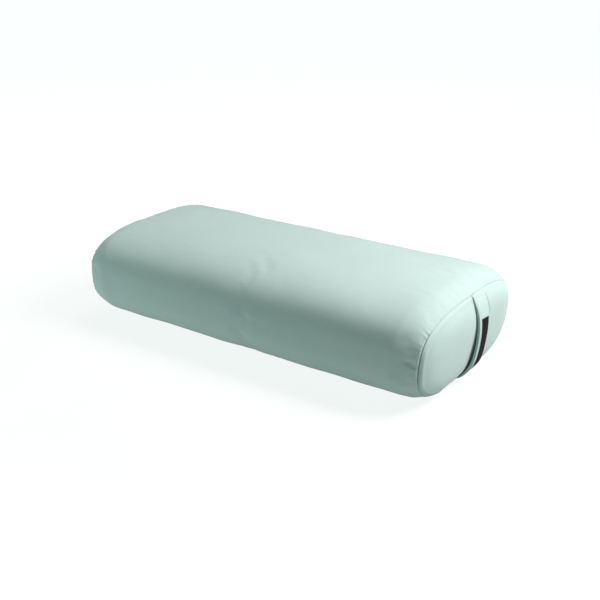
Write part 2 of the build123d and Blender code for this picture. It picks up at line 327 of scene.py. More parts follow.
def neighbour_average(values, quads, rounds):
    """Repeated averaging of a per-vertex value over neighbouring vertices."""
    pairs = np.concatenate([quads[:, [0, 1]], quads[:, [1, 2]], quads[:, [2, 3]], quads[:, [3, 0]]])
    count = np.bincount(pairs.ravel(), minlength=len(values))[:, None]
    for _ in range(rounds):
        total = np.zeros_like(values)
        np.add.at(total, pairs[:, 0], values[pairs[:, 1]])
        np.add.at(total, pairs[:, 1], values[pairs[:, 0]])
        values = 0.4 * values + 0.6 * total / count
    return values


def mesh_object(name, points, faces, uvs=None, closed=False):
    """A smooth mesh object; uvs holds one (u, v) in metres for each corner of each face."""
    mesh = bpy.data.meshes.new(name)
    mesh.from_pydata(np.asarray(points).tolist(), [], [list(map(int, face)) for face in faces])
    if uvs is not None:
        layer = mesh.uv_layers.new(name="cloth")
        layer.uv.foreach_set("vector", np.concatenate([np.asarray(uv).ravel() for uv in uvs]))
    mesh.update()
    if closed:
        work = bmesh.new()
        work.from_mesh(mesh)
        bmesh.ops.recalc_face_normals(work, faces=work.faces)
        work.to_mesh(mesh)
        work.free()
    mesh.shade_smooth()
    obj = bpy.data.objects.new(name, mesh)
    bpy.context.scene.collection.objects.link(obj)
    return obj


def finish_piece(obj, material, body, replaced):
    """Give a piece its material and its body if it has one, and hide the CAD nodes that it stands for."""
    obj.data.materials.append(material)
    if body:
        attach(obj, body)
    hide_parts(*replaced)
    return obj


# ---------------------------------------------------------------- cloth simulation of the cover

CLOTH = {
    "quality": 5, "mass": 0.25, "tension_stiffness": 25, "compression_stiffness": 25, "shear_stiffness": 12,
    "bending_stiffness": 2.0, "air_damping": 2, "use_pressure": True, "uniform_pressure_force": 4.0,
    "vertex_group_shrink": "seam", "shrink_min": -0.005, "shrink_max": 0.03,
}
SIM_FRAMES = 20
SIM_START_INSET = 2.5 * MM
FOLD_CAP = 1.6 * MM
FOLD_SHARE = (0.2, 0.9)
SWELL_SHARE = 0.1


def simulate(points, quads, seam_weights):
    """Inflate the closed cover with its seams drawn tight, and return where its points end up."""
    start = points - vertex_normals(points, quads) * SIM_START_INSET
    obj = mesh_object("cover_simulation", start, quads)
    group = obj.vertex_groups.new(name="seam")
    for index in np.nonzero(seam_weights)[0]:
        group.add([int(index)], float(seam_weights[index]), "REPLACE")
    cloth = obj.modifiers.new("cloth", "CLOTH")
    for setting, value in CLOTH.items():
        setattr(cloth.settings, setting, value)
    cloth.settings.effector_weights.gravity = 0
    cloth.collision_settings.use_collision = False
    cloth.point_cache.frame_start = 1
    cloth.point_cache.frame_end = SIM_FRAMES
    scene = bpy.context.scene
    for number in range(1, SIM_FRAMES + 1):
        scene.frame_set(number)
    evaluated = obj.evaluated_get(bpy.context.evaluated_depsgraph_get())
    out = np.zeros(len(points) * 3)
    evaluated.data.vertices.foreach_get("co", out)
    scene.frame_set(1)
    bpy.data.objects.remove(obj)
    return out.reshape(-1, 3)


def near_zipper(points):
    """1 on the part of the back that carries the zipper, fading to 0 around it."""
    beside = 1 - smooth_step(np.abs(points[..., 2] - ZIP_Z), *BESIDE_ZIPPER)
    along = 1 - smooth_step(np.abs(points[..., 0]), *PAST_ZIPPER)
    return beside * along * (points[..., 1] > 0)


def inflated_cover():
    """The cover's form with the folds and seam pulls of the simulation on it."""
    points, quads, wrap_index, ends = cover_grid()
    weights = np.zeros(len(points))
    for row, weight in ((0, 1.0), (1, 0.5), (2, 0.2)):
        weights[wrap_index[row]] = weight
        weights[wrap_index[-1 - row]] = weight
    moved = simulate(points, quads, weights) - points
    swell = neighbour_average(moved, quads, 60)
    low = 1 - smooth_step(points[:, 2], 0.6 * HEIGHT, 0.85 * HEIGHT)
    near_seam = smooth_step(np.abs(points[:, 0]), ROUND_START - 20 * MM, ROUND_START + 20 * MM)
    share = FOLD_SHARE[0] + (FOLD_SHARE[1] - FOLD_SHARE[0]) * low * near_seam
    share = share * (1 - smooth_step(np.abs(points[:, 0]), SEAM_X - 12 * MM, SEAM_X))
    change = (moved - swell) * share[:, None]
    size = np.linalg.norm(change, axis=1, keepdims=True)
    change = change * np.minimum(1, FOLD_CAP / (size + 1e-9)) + SWELL_SHARE * swell
    keep = smooth_step(points[:, 2], 0, 20 * MM) * (1 - near_zipper(points))
    points = points + change * keep[:, None]
    return points, vertex_normals(points, quads), wrap_index, ends


COVER_POINTS, COVER_NORMALS, WRAP_INDEX, END_INDEX = inflated_cover()


# ---------------------------------------------------------------- fine mesh and sewn detail of the cover

# Where the wrap is gathered into the seam: section angle in degrees, and rise, pitch and reach in mm
PLEATS = (
    (147, -2.3, 7.5, 5), (136, 0.4, 7.0, 8), (160, 0.3, 8.0, 10), (168, 0.5, 6.5, 9), (181, 0.35, 8.5, 11),
    (194, 0.5, 6.0, 8), (207, 0.4, 8.0, 10), (222, 0.8, 5.5, 7), (39, -1.4, 8.0, 7), (28, 0.5, 7.0, 9),
    (9, 0.4, 8.0, 10), (-14, 0.5, 6.5, 9), (-42, 0.8, 5.5, 7), (104, 0.1, 9.0, 8), (73, 0.1, 9.0, 8),
)
PLEAT_DENSE = 0.5
# Soft dents beside the end seams: end, side, and height, distance from the seam, depth and radius in mm
DENTS = (
    (1, -1, 88, 17, 2.2, 7), (1, -1, 104, 13, 1.0, 6), (1, -1, 70, 27, 0.8, 10), (1, -1, 57, 16, 1.4, 8),
    (1, -1, 37, 15, 1.7, 8), (1, -1, 118, 27, 0.9, 8), (1, 1, 92, 16, 1.4, 8), (1, 1, 60, 20, 1.2, 9),
    (1, 1, 38, 14, 1.2, 8), (-1, -1, 96, 17, 1.5, 8), (-1, -1, 66, 15, 1.1, 8), (-1, -1, 41, 18, 1.3, 9),
    (-1, 1, 101, 15, 1.2, 7), (-1, 1, 74, 19, 1.5, 9), (-1, 1, 44, 15, 1.1, 8),
)
# Slow waves of the filling: height in mm, lengths along X and round the section in metres, and phase
LUMPS = ((0.35, 0.148, 0.31, 0.7), (0.30, 0.211, -0.127, 2.1), (0.22, 0.083, 0.152, 4.0))
WRAP_ROLL = 0.8 * MM
SIDE_ROLL = 3.0 * MM
END_ROLL = 0.7 * MM
SIDE_RIDGE = 0.7 * MM
ROLL_RISE = 0.6 * MM
RIPPLES = ((8.0 * MM, 0.4), (11.0 * MM, 0.35), (15.0 * MM, 0.25))
RIPPLE_RISE = 0.25 * MM
RIPPLE_FADE = 7.0 * MM
SEAM_GAP = 0.05 * MM
# The slot's turned-under edge: distance from the slot's middle line and rise above the cover, in mm
SLOT_LIP = ((5.7, -0.15), (5.55, -0.5), (5.7, -0.9), (6.5, -1.25), (9.0, -1.3))


def cubic_weights(count, queries, closed=False):
    """Catmull-Rom weights of count samples, one row for each query position."""
    queries = np.asarray(queries, float)
    base = np.floor(queries).astype(int)
    if not closed:
        base = np.minimum(base, count - 2)
    t = queries - base
    parts = (
        -0.5 * t**3 + t**2 - 0.5 * t,
        1.5 * t**3 - 2.5 * t**2 + 1,
        -1.5 * t**3 + 2 * t**2 + 0.5 * t,
        0.5 * t**3 - 0.5 * t**2,
    )
    weights = np.zeros((len(queries), count + 2))
    for step, part in enumerate(parts):
        spot = base + step
        if closed:
            spot = (spot - 1) % count + 1
        np.add.at(weights, (np.arange(len(queries)), spot), part)
    inner = weights[:, 1:-1].copy()
    inner[:, 0] += 2 * weights[:, 0]
    inner[:, 1] -= weights[:, 0]
    inner[:, -1] += 2 * weights[:, -1]
    inner[:, -2] -= weights[:, -1]
    return inner


def edge_steps(count):
    """Positions over count cells: halves, and finer still near both ends."""
    near = np.array([0, 0.12, 0.25, 0.4, 0.55, 0.7, 0.85, 1.0, 1.25, 1.5, 1.75])
    return np.concatenate([near, np.arange(2, count - 1.9, 0.5), (count - near)[::-1]])


def grid_normals(grid, wrapped):
    """Unit normals of a grid of points, facing away from the bolster's middle."""
    if wrapped:
        across = np.roll(grid, -1, 1) - np.roll(grid, 1, 1)
    else:
        across = np.gradient(grid, axis=1)
    normal = np.cross(np.gradient(grid, axis=0), across)
    normal /= np.linalg.norm(normal, axis=-1, keepdims=True) + 1e-12
    away = grid - np.array([0, 0, WIDEST])
    facing = np.sum(normal * away, axis=-1).mean()
    return normal if facing > 0 else -normal


def running_length(points, axis=0):
    """Distance along a grid of points from its first row."""
    steps = np.linalg.norm(np.diff(points, axis=axis), axis=-1)
    start = np.zeros_like(np.take(steps, [0], axis))
    return np.concatenate([start, np.cumsum(steps, axis=axis)], axis)


def girth(grid, row):
    """Length once round a row of a closed grid."""
    return float(running_length(joined(grid[row:row + 1])[0])[-1])


def ripple(along, phase):
    """Small puckers along a seam, between -1 and 1, coming and going."""
    waves = sum(share * np.sin(2 * math.pi * along / length + phase * number)
                for number, (length, share) in enumerate(RIPPLES, 1))
    return waves * (0.65 + 0.35 * np.sin(2 * math.pi * along / 0.17 + phase))


def rolled_in(distance, radius):
    """How far a seam's edge has turned inwards at a distance from it, on a round edge of that radius."""
    return radius - np.sqrt(np.maximum(radius**2 - np.maximum(radius - distance, 0) ** 2, 0))


def pleats(along, distance, column_run, phase):
    """Ridges that run into the seam where the wrap is gathered."""
    rise = np.zeros_like(distance)
    for degrees, height, pitch, reach in PLEATS:
        spot = np.interp(math.radians(degrees), np.append(ANGLES, ANGLES[0] + 2 * math.pi), column_run)
        offset = along - spot + 1.5 * MM * math.sin(phase * degrees) + 0.25 * distance * math.sin(degrees)
        window = np.exp(-((offset / (0.85 * pitch * MM)) ** 2))
        ridge = np.cos(2 * math.pi * offset / (pitch * MM) + 0.35 * phase)
        rise += height * MM * window * ridge * np.exp(-distance / (reach * MM))
    return rise * smooth_step(distance, 0, 2.0 * MM)


def dents(grid, from_front, from_rear):
    """Soft dents in the sides, next to the end seams."""
    drop = np.zeros_like(from_front)
    for end, side, z, reach, depth, radius in DENTS:
        away = (from_front if end > 0 else from_rear) - reach * MM
        off = (away / (1.3 * radius * MM)) ** 2 + ((grid[..., 2] - z * MM) / (radius * MM)) ** 2
        drop += depth * MM * np.exp(-off) * (np.sign(grid[..., 1]) == side)
    return drop


def lumps(x, along):
    """Slow unevenness of the filling."""
    return MM * sum(height * np.sin(2 * math.pi * (x / first + along / second) + phase)
                    for height, first, second, phase in LUMPS)


def fine_columns():
    """Column positions of the fine wrap: halves, and quarters where the wrap is pleated."""
    full = np.append(ANGLES, ANGLES[0] + 2 * math.pi)
    dense = [math.radians(degrees) for degrees, height, _, _ in PLEATS if height >= PLEAT_DENSE]
    spots = np.interp(dense, full, np.arange(COLUMNS + 1))
    queries = []
    for column in range(COLUMNS):
        near = min(abs(column + 0.5 - spot) for spot in spots) < 3
        queries += [column + part for part in ((0, 0.25, 0.5, 0.75) if near else (0, 0.5))]
    return np.array(queries)


FINE_COLUMNS = fine_columns()
COLUMN_WEIGHTS = cubic_weights(COLUMNS, FINE_COLUMNS, closed=True)


def slot_rows(grid):
    """Slide the rows nearest the ends of the zipper's slot onto them."""
    x, rows = grid[:, 0, 0], []
    for end in (-SLOT_END, SLOT_END):
        row = int(np.argmin(np.abs(x - end)))
        grid[row, :, 0] += end - x[row]
        rows.append(row)
    return rows


def fine_wrap():
    """The wrap's fine grid, with rolled edges, puckers, pleats, dents and lumps, its UVs and its slot rows."""
    row_weights = cubic_weights(WRAP_INDEX.shape[0], edge_steps(WRAP_INDEX.shape[0] - 1))
    coarse = COVER_POINTS[WRAP_INDEX]
    grid = np.einsum("ir,rcd->icd", row_weights, coarse)
    grid = np.einsum("jc,icd->ijd", COLUMN_WEIGHTS, grid)
    slot = slot_rows(grid)
    normals = grid_normals(grid, True)
    from_rear = running_length(grid)
    from_front = from_rear[-1:] - from_rear
    column_run = running_length(joined(grid[:1])[0])
    run_at_corner = np.interp(np.arange(COLUMNS + 1), np.append(FINE_COLUMNS, COLUMNS), column_run)
    along = np.broadcast_to(column_run[None, :-1], grid.shape[:2])
    flat = 1 - near_zipper(grid)
    off_floor = smooth_step(grid[..., 2], 0, OFF_FLOOR)
    rise = lumps(grid[..., 0], along) * smooth_step(np.minimum(from_rear, from_front), 0, 60 * MM) * flat
    rise -= dents(grid, from_front, from_rear)
    beside = smooth_step(np.abs(np.cos(COLUMN_WEIGHTS @ np.unwrap(ANGLES))), 0.7, 0.9)[None]
    for distance, phase in ((from_rear, 2.0), (from_front, 1.0)):
        rise += SIDE_RIDGE * beside * np.exp(-(((distance - 3.4 * MM) / (1.8 * MM)) ** 2))
        rise += RIPPLE_RISE * ripple(along, phase) * np.exp(-distance / RIPPLE_FADE)
        rise += pleats(along, distance, run_at_corner, phase)
    grid = grid + normals * (rise * off_floor)[..., None]
    for row, distance in ((0, from_rear), (-1, from_front)):
        inward = np.einsum("jc,cd->jd", COLUMN_WEIGHTS, COVER_NORMALS[WRAP_INDEX[row]])
        depth = rolled_in(distance, WRAP_ROLL + (SIDE_ROLL - WRAP_ROLL) * beside)
        grid = grid - inward[None] * depth[..., None]
    grid[..., 2] = np.maximum(grid[..., 2], 0)
    middle = grid[len(grid) // 2]
    u = running_length(joined(middle[None])[0])
    v = running_length(grid[:, len(u) // 3])
    return grid, np.stack(np.broadcast_arrays(u[None, :], v[:, None]), -1), slot


def seam_allowance(ring, inward, side):
    """Rows that carry a seam's edge into the bolster, lying side metres off the seam."""
    shift = np.array([side, 0, 0])
    return np.array([ring - inward * reach + shift * min(1, reach / MM) for reach in ALLOWANCE_ROWS])


def slot_lips(grid, low, high, rows):
    """Rows of points that turn the slot's edge under, from its rim inwards, and the rim's grid places."""
    first, last = sorted(rows)
    rim = [(first, c) for c in range(low, high)] + [(r, high) for r in range(first, last)]
    rim += [(last, c) for c in range(high, low, -1)] + [(r, low) for r in range(last, first, -1)]
    rim = np.array(rim)
    points = grid[rim[:, 0], rim[:, 1]]
    away = np.zeros_like(points)
    away[:, 2] = (rim[:, 1] == high) * 1.0 - (rim[:, 1] == low) * 1.0
    away[:, 0] = (rim[:, 0] == last) * 1.0 - (rim[:, 0] == first) * 1.0
    lips = [points + away * (v * MM - SLOT_HALF) + np.array([0, w * MM, 0]) for v, w in SLOT_LIP]
    return rim, np.array(lips)


def cover_wrap():
    """The wrap as one piece: fine grid, seam allowances and turned-under lips of the zipper slot."""
    grid, uv, slot = fine_wrap()
    inward = [COLUMN_WEIGHTS @ COVER_NORMALS[WRAP_INDEX[row]] for row in (0, -1)]
    rear = seam_allowance(grid[0], inward[0], SEAM_GAP)[::-1]
    front = seam_allowance(grid[-1], inward[1], -SEAM_GAP)
    tail = np.array(ALLOWANCE_ROWS)
    v = uv[:, 0, 1]
    v_all = np.concatenate([v[0] - tail[::-1], v, v[-1] + tail])
    full = np.concatenate([rear, grid, front])
    uv_all = np.stack(np.broadcast_arrays(uv[:1, :, 0], v_all[:, None]), -1)
    index = numbered(full)
    low = int(np.argmin(np.abs(FINE_COLUMNS - SLOT_LOW)))
    high = int(np.argmin(np.abs(FINE_COLUMNS - SLOT_HIGH)))
    rows = [row + len(rear) for row in slot]
    faces, corner_uvs = cells(joined(index)), cells(uv_all)
    row_of, column_of = faces[:, 0] // full.shape[1], faces[:, 0] % full.shape[1]
    inside = (row_of >= min(rows)) & (row_of < max(rows)) & (column_of >= low) & (column_of < high)
    faces, corner_uvs = faces[~inside], corner_uvs[~inside]
    rim, lips = slot_lips(full, low, high, rows)
    lip_index = np.concatenate([index[rim[:, 0], rim[:, 1]][None], numbered(lips, index.size)])
    lip_faces = cells(joined(lip_index))
    lip_run = running_length(joined(full[rim[:, 0], rim[:, 1]][None])[0])
    lip_uv = np.stack(np.broadcast_arrays(lip_run[None], 0.6 * MM * np.arange(len(lip_index))[:, None]), -1)
    points = np.concatenate([full.reshape(-1, 3), lips.reshape(-1, 3)])
    faces = np.concatenate([faces, lip_faces])
    obj = mesh_object("cover_wrap_fabric", points, faces, [corner_uvs, cells(lip_uv)])
    finish_piece(obj, COVER_COTTON, "root", ["cover_wrap"])
    return obj, grid


def cover_end(side, node):
    """An end panel: fine grid whose edge rolls into the seam, and its seam allowance."""
    row = -1 if side > 0 else 0
    across = cubic_weights(CELLS_ACROSS + 1, edge_steps(CELLS_ACROSS))
    up = cubic_weights(CELLS_UP + 1, edge_steps(CELLS_UP))
    grid = np.einsum("ia,jb,abd->ijd", across, up, COVER_POINTS[END_INDEX[side]], optimize=True)
    joint = np.einsum("ia,jb,abd->ijd", across, up, COVER_NORMALS[END_INDEX[side]], optimize=True)
    joint = unit(joint)
    normals = grid_normals(grid, False)
    ring = cubic_weights(COLUMNS, np.arange(0, COLUMNS, 0.125), True) @ COVER_POINTS[WRAP_INDEX[row]]
    ring_run = running_length(ring)
    tree = kdtree.KDTree(len(ring))
    for number, point in enumerate(ring):
        tree.insert(point, number)
    tree.balance()
    found = [tree.find(point) for point in grid.reshape(-1, 3)]
    distance = np.array([hit[2] for hit in found]).reshape(grid.shape[:2])
    along = ring_run[[hit[1] for hit in found]].reshape(grid.shape[:2])
    rolled = rolled_in(distance, END_ROLL)
    rise = ROLL_RISE * np.exp(-(((distance - 5 * MM) / (3 * MM)) ** 2))
    rise += RIPPLE_RISE * ripple(along, 3.0 * side) * np.exp(-distance / RIPPLE_FADE)
    share = np.exp(-distance / (2 * MM))[..., None]
    direction = normals * (1 - share) + joint * share
    rise = rise * smooth_step(grid[..., 2], 0, OFF_FLOOR)
    grid = grid + normals * rise[..., None] - direction * rolled[..., None]
    grid[..., 2] = np.maximum(grid[..., 2], 0)
    index = numbered(grid)
    loop = rim_of(index)
    flat_points, flat_joint = grid.reshape(-1, 3), joint.reshape(-1, 3)
    allowance = seam_allowance(flat_points[loop], flat_joint[loop], side * SEAM_GAP)
    allowance_index = np.concatenate([loop[None], numbered(allowance, index.size)])
    uv = grid[..., 1:3]
    loop_run = running_length(joined(flat_points[loop][None])[0])
    loop_uv = np.stack(np.broadcast_arrays(loop_run[None], 1.5 * MM * np.arange(4)[:, None]), -1)
    faces = np.concatenate([cells(index, side > 0), cells(joined(allowance_index), side > 0)])
    points = np.concatenate([flat_points, allowance.reshape(-1, 3)])
    obj = mesh_object(f"{node}_fabric", points, faces, [cells(uv, side > 0), cells(loop_uv, side > 0)])
    return finish_piece(obj, COVER_COTTON, "root", [node])


# ---------------------------------------------------------------- materials

class Shader:
    """A material's node tree, with short ways to add and join its nodes."""

    def __init__(self, name, roughness=0.8, metallic=0.0, sheen=0.0):
        self.material = bpy.data.materials.new(name)
        self.material.use_nodes = True
        self.tree = self.material.node_tree
        self.surface = self.tree.nodes["Principled BSDF"]
        self.surface.inputs["Roughness"].default_value = roughness
        self.surface.inputs["Metallic"].default_value = metallic
        self.surface.inputs["Sheen Weight"].default_value = sheen
        self.surface.inputs["Sheen Roughness"].default_value = 0.5

    def node(self, kind, inputs=(), **settings):
        made = self.tree.nodes.new(kind)
        for name, value in settings.items():
            setattr(made, name, value)
        for socket, value in enumerate(inputs):
            if isinstance(value, bpy.types.NodeSocket):
                self.tree.links.new(value, made.inputs[socket])
            elif value is not None:
                made.inputs[socket].default_value = value
        return made

    def math(self, operation, *values):
        return self.node("ShaderNodeMath", values, operation=operation).outputs[0]

    def cloth_place(self):
        """(u, v) in metres along the cloth, from the piece's own map."""
        place = self.node("ShaderNodeUVMap", uv_map="cloth").outputs[0]
        return self.split(place)

    def object_place(self):
        return self.node("ShaderNodeTexCoord").outputs["Object"]

    def split(self, vector):
        made = self.node("ShaderNodeSeparateXYZ", (vector,))
        return made.outputs[0], made.outputs[1], made.outputs[2]

    def join(self, x, y):
        return self.node("ShaderNodeCombineXYZ", (x, y)).outputs[0]

    def noise(self, vector, scale, detail, roughness=0.5):
        made = self.node("ShaderNodeTexNoise", (vector,))
        made.inputs["Scale"].default_value = scale
        made.inputs["Detail"].default_value = detail
        made.inputs["Roughness"].default_value = roughness
        return made.outputs[0]

    def streaks(self, u, v, across, along):
        """Noise drawn out along the cloth: one scale for each of its two directions."""
        place = self.join(self.math("MULTIPLY", u, across), self.math("MULTIPLY", v, along))
        return self.noise(place, 1.0, 2.0)

    def fade(self, value, low, high, first, last):
        """A value mapped from low to high onto first to last, and held beyond them."""
        return self.node("ShaderNodeMapRange", (value, low, high, first, last)).outputs[0]

    def beyond(self, value, limit):
        """How far a value's size passes a limit."""
        return self.math("MAXIMUM", self.math("SUBTRACT", self.math("ABSOLUTE", value), limit), 0.0)

    def ramp(self, factor, *stops):
        """Colour at stops of (position, colour)."""
        made = self.node("ShaderNodeValToRGB", (factor,))
        elements = made.color_ramp.elements
        while len(elements) < len(stops):
            elements.new(0.5)
        for element, (position, colour) in zip(elements, stops):
            element.position = position
            element.color = (*colour, 1)
        return made.outputs[0]

    def multiply(self, first, second):
        """Product of two colours."""
        made = self.node("ShaderNodeMix", data_type="RGBA", blend_type="MULTIPLY")
        sockets = {item.identifier: item for item in made.inputs}
        sockets["Factor_Float"].default_value = 1.0
        self.tree.links.new(first, sockets["A_Color"])
        self.tree.links.new(second, sockets["B_Color"])
        return next(item for item in made.outputs if item.identifier == "Result_Color")

    def weave(self, u, v, pitch):
        """Plain weave: height of the yarn on top, where yarns of that pitch cross."""
        su = self.math("SINE", self.math("MULTIPLY", u, math.pi / pitch))
        sv = self.math("SINE", self.math("MULTIPLY", v, math.pi / pitch))
        over = self.math("MULTIPLY", su, sv)
        return self.math("MULTIPLY_ADD", over, 0.5, 0.5)

    def rib(self, place, pitch):
        """Parallel ribs of that pitch, as height from 0 to 1."""
        wave = self.math("SINE", self.math("MULTIPLY", place, 2 * math.pi / pitch))
        return self.math("MULTIPLY_ADD", wave, 0.5, 0.5)

    def bump(self, height, distance, strength):
        made = self.node("ShaderNodeBump")
        made.inputs["Strength"].default_value = strength
        made.inputs["Distance"].default_value = distance
        self.tree.links.new(height, made.inputs["Height"])
        if self.surface.inputs["Normal"].is_linked:
            self.tree.links.new(self.surface.inputs["Normal"].links[0].from_socket, made.inputs["Normal"])
        self.tree.links.new(made.outputs[0], self.surface.inputs["Normal"])

    def colour(self, socket):
        self.tree.links.new(socket, self.surface.inputs["Base Color"])

    def roughness(self, socket):
        self.tree.links.new(socket, self.surface.inputs["Roughness"])


def times(colour, share):
    return tuple(share * part for part in colour)


def cotton(name, colour, pitch, sheen=0.25):
    """Plain-woven cotton: yarns, slubs, a faint unevenness of the dye, painted shade in the gaps of the weave,
    and creases from handling.
    """
    shader = Shader(name, 0.88, sheen=sheen)
    u, v, _ = shader.cloth_place()
    cloth = shader.join(u, v)
    weave = shader.weave(u, v, pitch)
    warp = shader.streaks(u, v, 1 / pitch, 20.0)
    weft = shader.streaks(u, v, 20.0, 1 / pitch)
    yarn = shader.math("MULTIPLY", warp, weft)
    tone = shader.ramp(yarn, (0.12, times(colour, 0.95)), (0.4, times(colour, 1.03)))
    dye = shader.noise(cloth, 9.0, 4.0, 0.6)
    shade = shader.ramp(dye, (0.3, (0.965, 0.97, 0.97)), (0.7, (1.0, 1.0, 1.0)))
    # Painted shade: the colour darkens where the weave is low, in the gaps between the yarns
    between = shader.ramp(weave, (0.0, (0.90, 0.91, 0.91)), (0.55, (1.0, 1.0, 1.0)))
    shader.colour(shader.multiply(shader.multiply(tone, shade), between))
    shader.roughness(shader.math("MULTIPLY_ADD", weave, 0.08, 0.84))
    crease = shader.noise(cloth, 38.0, 3.0, 0.55)
    shader.bump(crease, 0.5 * MM, 0.5)
    shader.bump(yarn, 0.08 * MM, 0.4)
    shader.bump(weave, 0.12 * MM, 0.8)
    return shader.material


def thread(name, colour, twist=1.1 * MM):
    """Twisted sewing thread with a soft gloss, and painted shade in the grooves between its plies."""
    shader = Shader(name, 0.6, sheen=0.2)
    x, y, z = shader.split(shader.object_place())
    slant = shader.math("ADD", shader.math("ADD", x, z), shader.math("MULTIPLY", y, 0.8))
    ply = shader.rib(slant, twist)
    # Painted shade: the thread's colour darkens in the grooves between its plies
    shader.colour(shader.ramp(ply, (0.1, times(colour, 0.72)), (0.6, colour)))
    shader.bump(ply, 0.08 * MM, 0.8)
    return shader.material


def label_weave():
    """Plain black woven label."""
    shader = Shader("label_weave", 0.7)
    shader.surface.inputs["Specular IOR Level"].default_value = 0.1
    u, v, _ = shader.cloth_place()
    rib = shader.rib(v, 0.5 * MM)
    float_yarn = shader.streaks(u, v, 2600.0, 300.0)
    black = shader.ramp(float_yarn, (0.3, (0.003, 0.003, 0.0035)), (0.7, (0.009, 0.009, 0.01)))
    shader.colour(black)
    shader.roughness(shader.math("MULTIPLY_ADD", rib, 0.15, 0.62))
    shader.bump(float_yarn, 0.06 * MM, 0.5)
    shader.bump(rib, 0.08 * MM, 0.8)
    return shader.material


def satin(name, colour):
    """White satin ribbon for the sewn-in labels."""
    shader = Shader(name, 0.38, sheen=0.1)
    u, v, _ = shader.cloth_place()
    rib = shader.rib(shader.math("MULTIPLY_ADD", u, 0.35, v), 0.4 * MM)
    streak = shader.streaks(u, v, 1500.0, 60.0)
    shader.colour(shader.ramp(streak, (0.3, times(colour, 0.86)), (0.7, colour)))
    shader.bump(rib, 0.05 * MM, 0.6)
    return shader.material


def tape_weave():
    """Zipper tape: dense herringbone twill, dyed to match the cover, with painted shade in the twill's
    grooves.
    """
    shader = Shader("zipper_tape", 0.72, sheen=0.15)
    x, _, z = shader.split(shader.object_place())
    fold = shader.math("PINGPONG", shader.math("SUBTRACT", z, ZIP_Z), 1.6 * MM)
    twill = shader.rib(shader.math("ADD", x, fold), 0.7 * MM)
    # Painted shade: the tape's colour darkens in the grooves of the twill
    tone = shader.ramp(twill, (0.0, (0.33, 0.49, 0.44)), (0.6, (0.46, 0.63, 0.575)))
    shader.colour(tone)
    shader.bump(twill, 0.1 * MM, 0.8)
    return shader.material


def nylon(name, colour):
    """Moulded nylon of the zipper's coil."""
    shader = Shader(name, 0.34)
    grain = shader.noise(shader.object_place(), 2500.0, 2.0)
    shader.colour(shader.ramp(grain, (0.3, times(colour, 0.9)), (0.7, colour)))
    shader.roughness(shader.math("MULTIPLY_ADD", grain, 0.12, 0.28))
    shader.bump(grain, 0.03 * MM, 0.3)
    return shader.material


def nickel():
    """Nickel plate over die-cast zinc: faint casting texture, and dull rub marks."""
    shader = Shader("zipper_metal", 0.25, metallic=1.0)
    place = shader.object_place()
    cast = shader.noise(place, 900.0, 3.0)
    rub = shader.noise(place, 160.0, 4.0, 0.65)
    shader.colour(shader.ramp(rub, (0.35, (0.52, 0.50, 0.47)), (0.62, (0.70, 0.685, 0.65))))
    shader.roughness(shader.math("MULTIPLY_ADD", rub, 0.30, 0.12))
    shader.bump(cast, 0.04 * MM, 0.35)
    return shader.material


def batting_fibre():
    """Pressed cotton batting: cream, matted fibre with tufts and specks of seed."""
    shader = Shader("batting_cotton", 0.96, sheen=0.5)
    place = shader.object_place()
    tuft = shader.noise(place, 70.0, 5.0, 0.65)
    fibre = shader.noise(place, 900.0, 3.0, 0.7)
    speck = shader.noise(place, 260.0, 1.0)
    tone = shader.ramp(tuft, (0.3, (0.62, 0.57, 0.47)), (0.68, (0.80, 0.76, 0.67)))
    seeds = shader.ramp(speck, (0.74, (1.0, 1.0, 1.0)), (0.78, (0.55, 0.43, 0.30)))
    shader.colour(shader.multiply(tone, seeds))
    shader.bump(tuft, 1.5 * MM, 0.8)
    shader.bump(fibre, 0.3 * MM, 0.8)
    return shader.material


def floor_paint():
    """Pale studio floor with a faint grain that glows, its glow painted light: white where it is seen, and
    less bright as a light, weaker towards +X and lowered beside the body as a painted contact shadow.
    """
    shader = Shader("studio_floor", 0.9)
    place = shader.object_place()
    grain = shader.noise(place, 6.0, 3.0)
    shader.colour(shader.ramp(grain, (0.3, (0.11, 0.11, 0.11)), (0.7, (0.13, 0.13, 0.13))))
    x, y, _ = shader.split(place)
    away = shader.math("SQRT", shader.math("MULTIPLY_ADD", x, x, shader.math("MULTIPLY", y, y)))
    seen = shader.fade(away, *SEEN_REACH, *FLOOR_SEEN)
    # Painted light: as a light the floor glows less towards +X, so the bolster's +X end is lit less from below
    glow = shader.fade(x, *GLOW_REACH, *FLOOR_GLOW)
    path = shader.node("ShaderNodeLightPath").outputs["Is Camera Ray"]
    # Painted contact shadow: the floor's glow as a light drops to half at the body's footprint, back to full a
    # little way off
    beside = shader.math("ADD", shader.beyond(x, FOOTPRINT[0]), shader.beyond(y, FOOTPRINT[1]))
    near = shader.fade(beside, 0.0, CONTACT_SHADOW_REACH, CONTACT_SHADOW_SHARE, 1.0)
    glow = shader.math("MULTIPLY", glow, near)
    glow = shader.fade(path, 0.0, 1.0, glow, seen)
    shader.surface.inputs["Emission Color"].default_value = (*BACKDROP, 1)
    shader.tree.links.new(glow, shader.surface.inputs["Emission Strength"])
    return shader.material


MINT = (0.400, 0.588, 0.542)
CREAM = (0.70, 0.66, 0.57)
# Floor glow, painted light: its brightness to the camera, by distance from the middle, and as a light, by X,
# less near the body as a painted contact shadow
FLOOR_SEEN = (0.88, 1.0)
SEEN_REACH = (0.45, 1.1)
FLOOR_GLOW = (0.88, 0.59)
GLOW_REACH = (-0.35, 0.45)
FOOTPRINT = (0.30, 0.13)
CONTACT_SHADOW_REACH = 0.10
CONTACT_SHADOW_SHARE = 0.5
BACKDROP = (0.96, 1.0, 0.99)

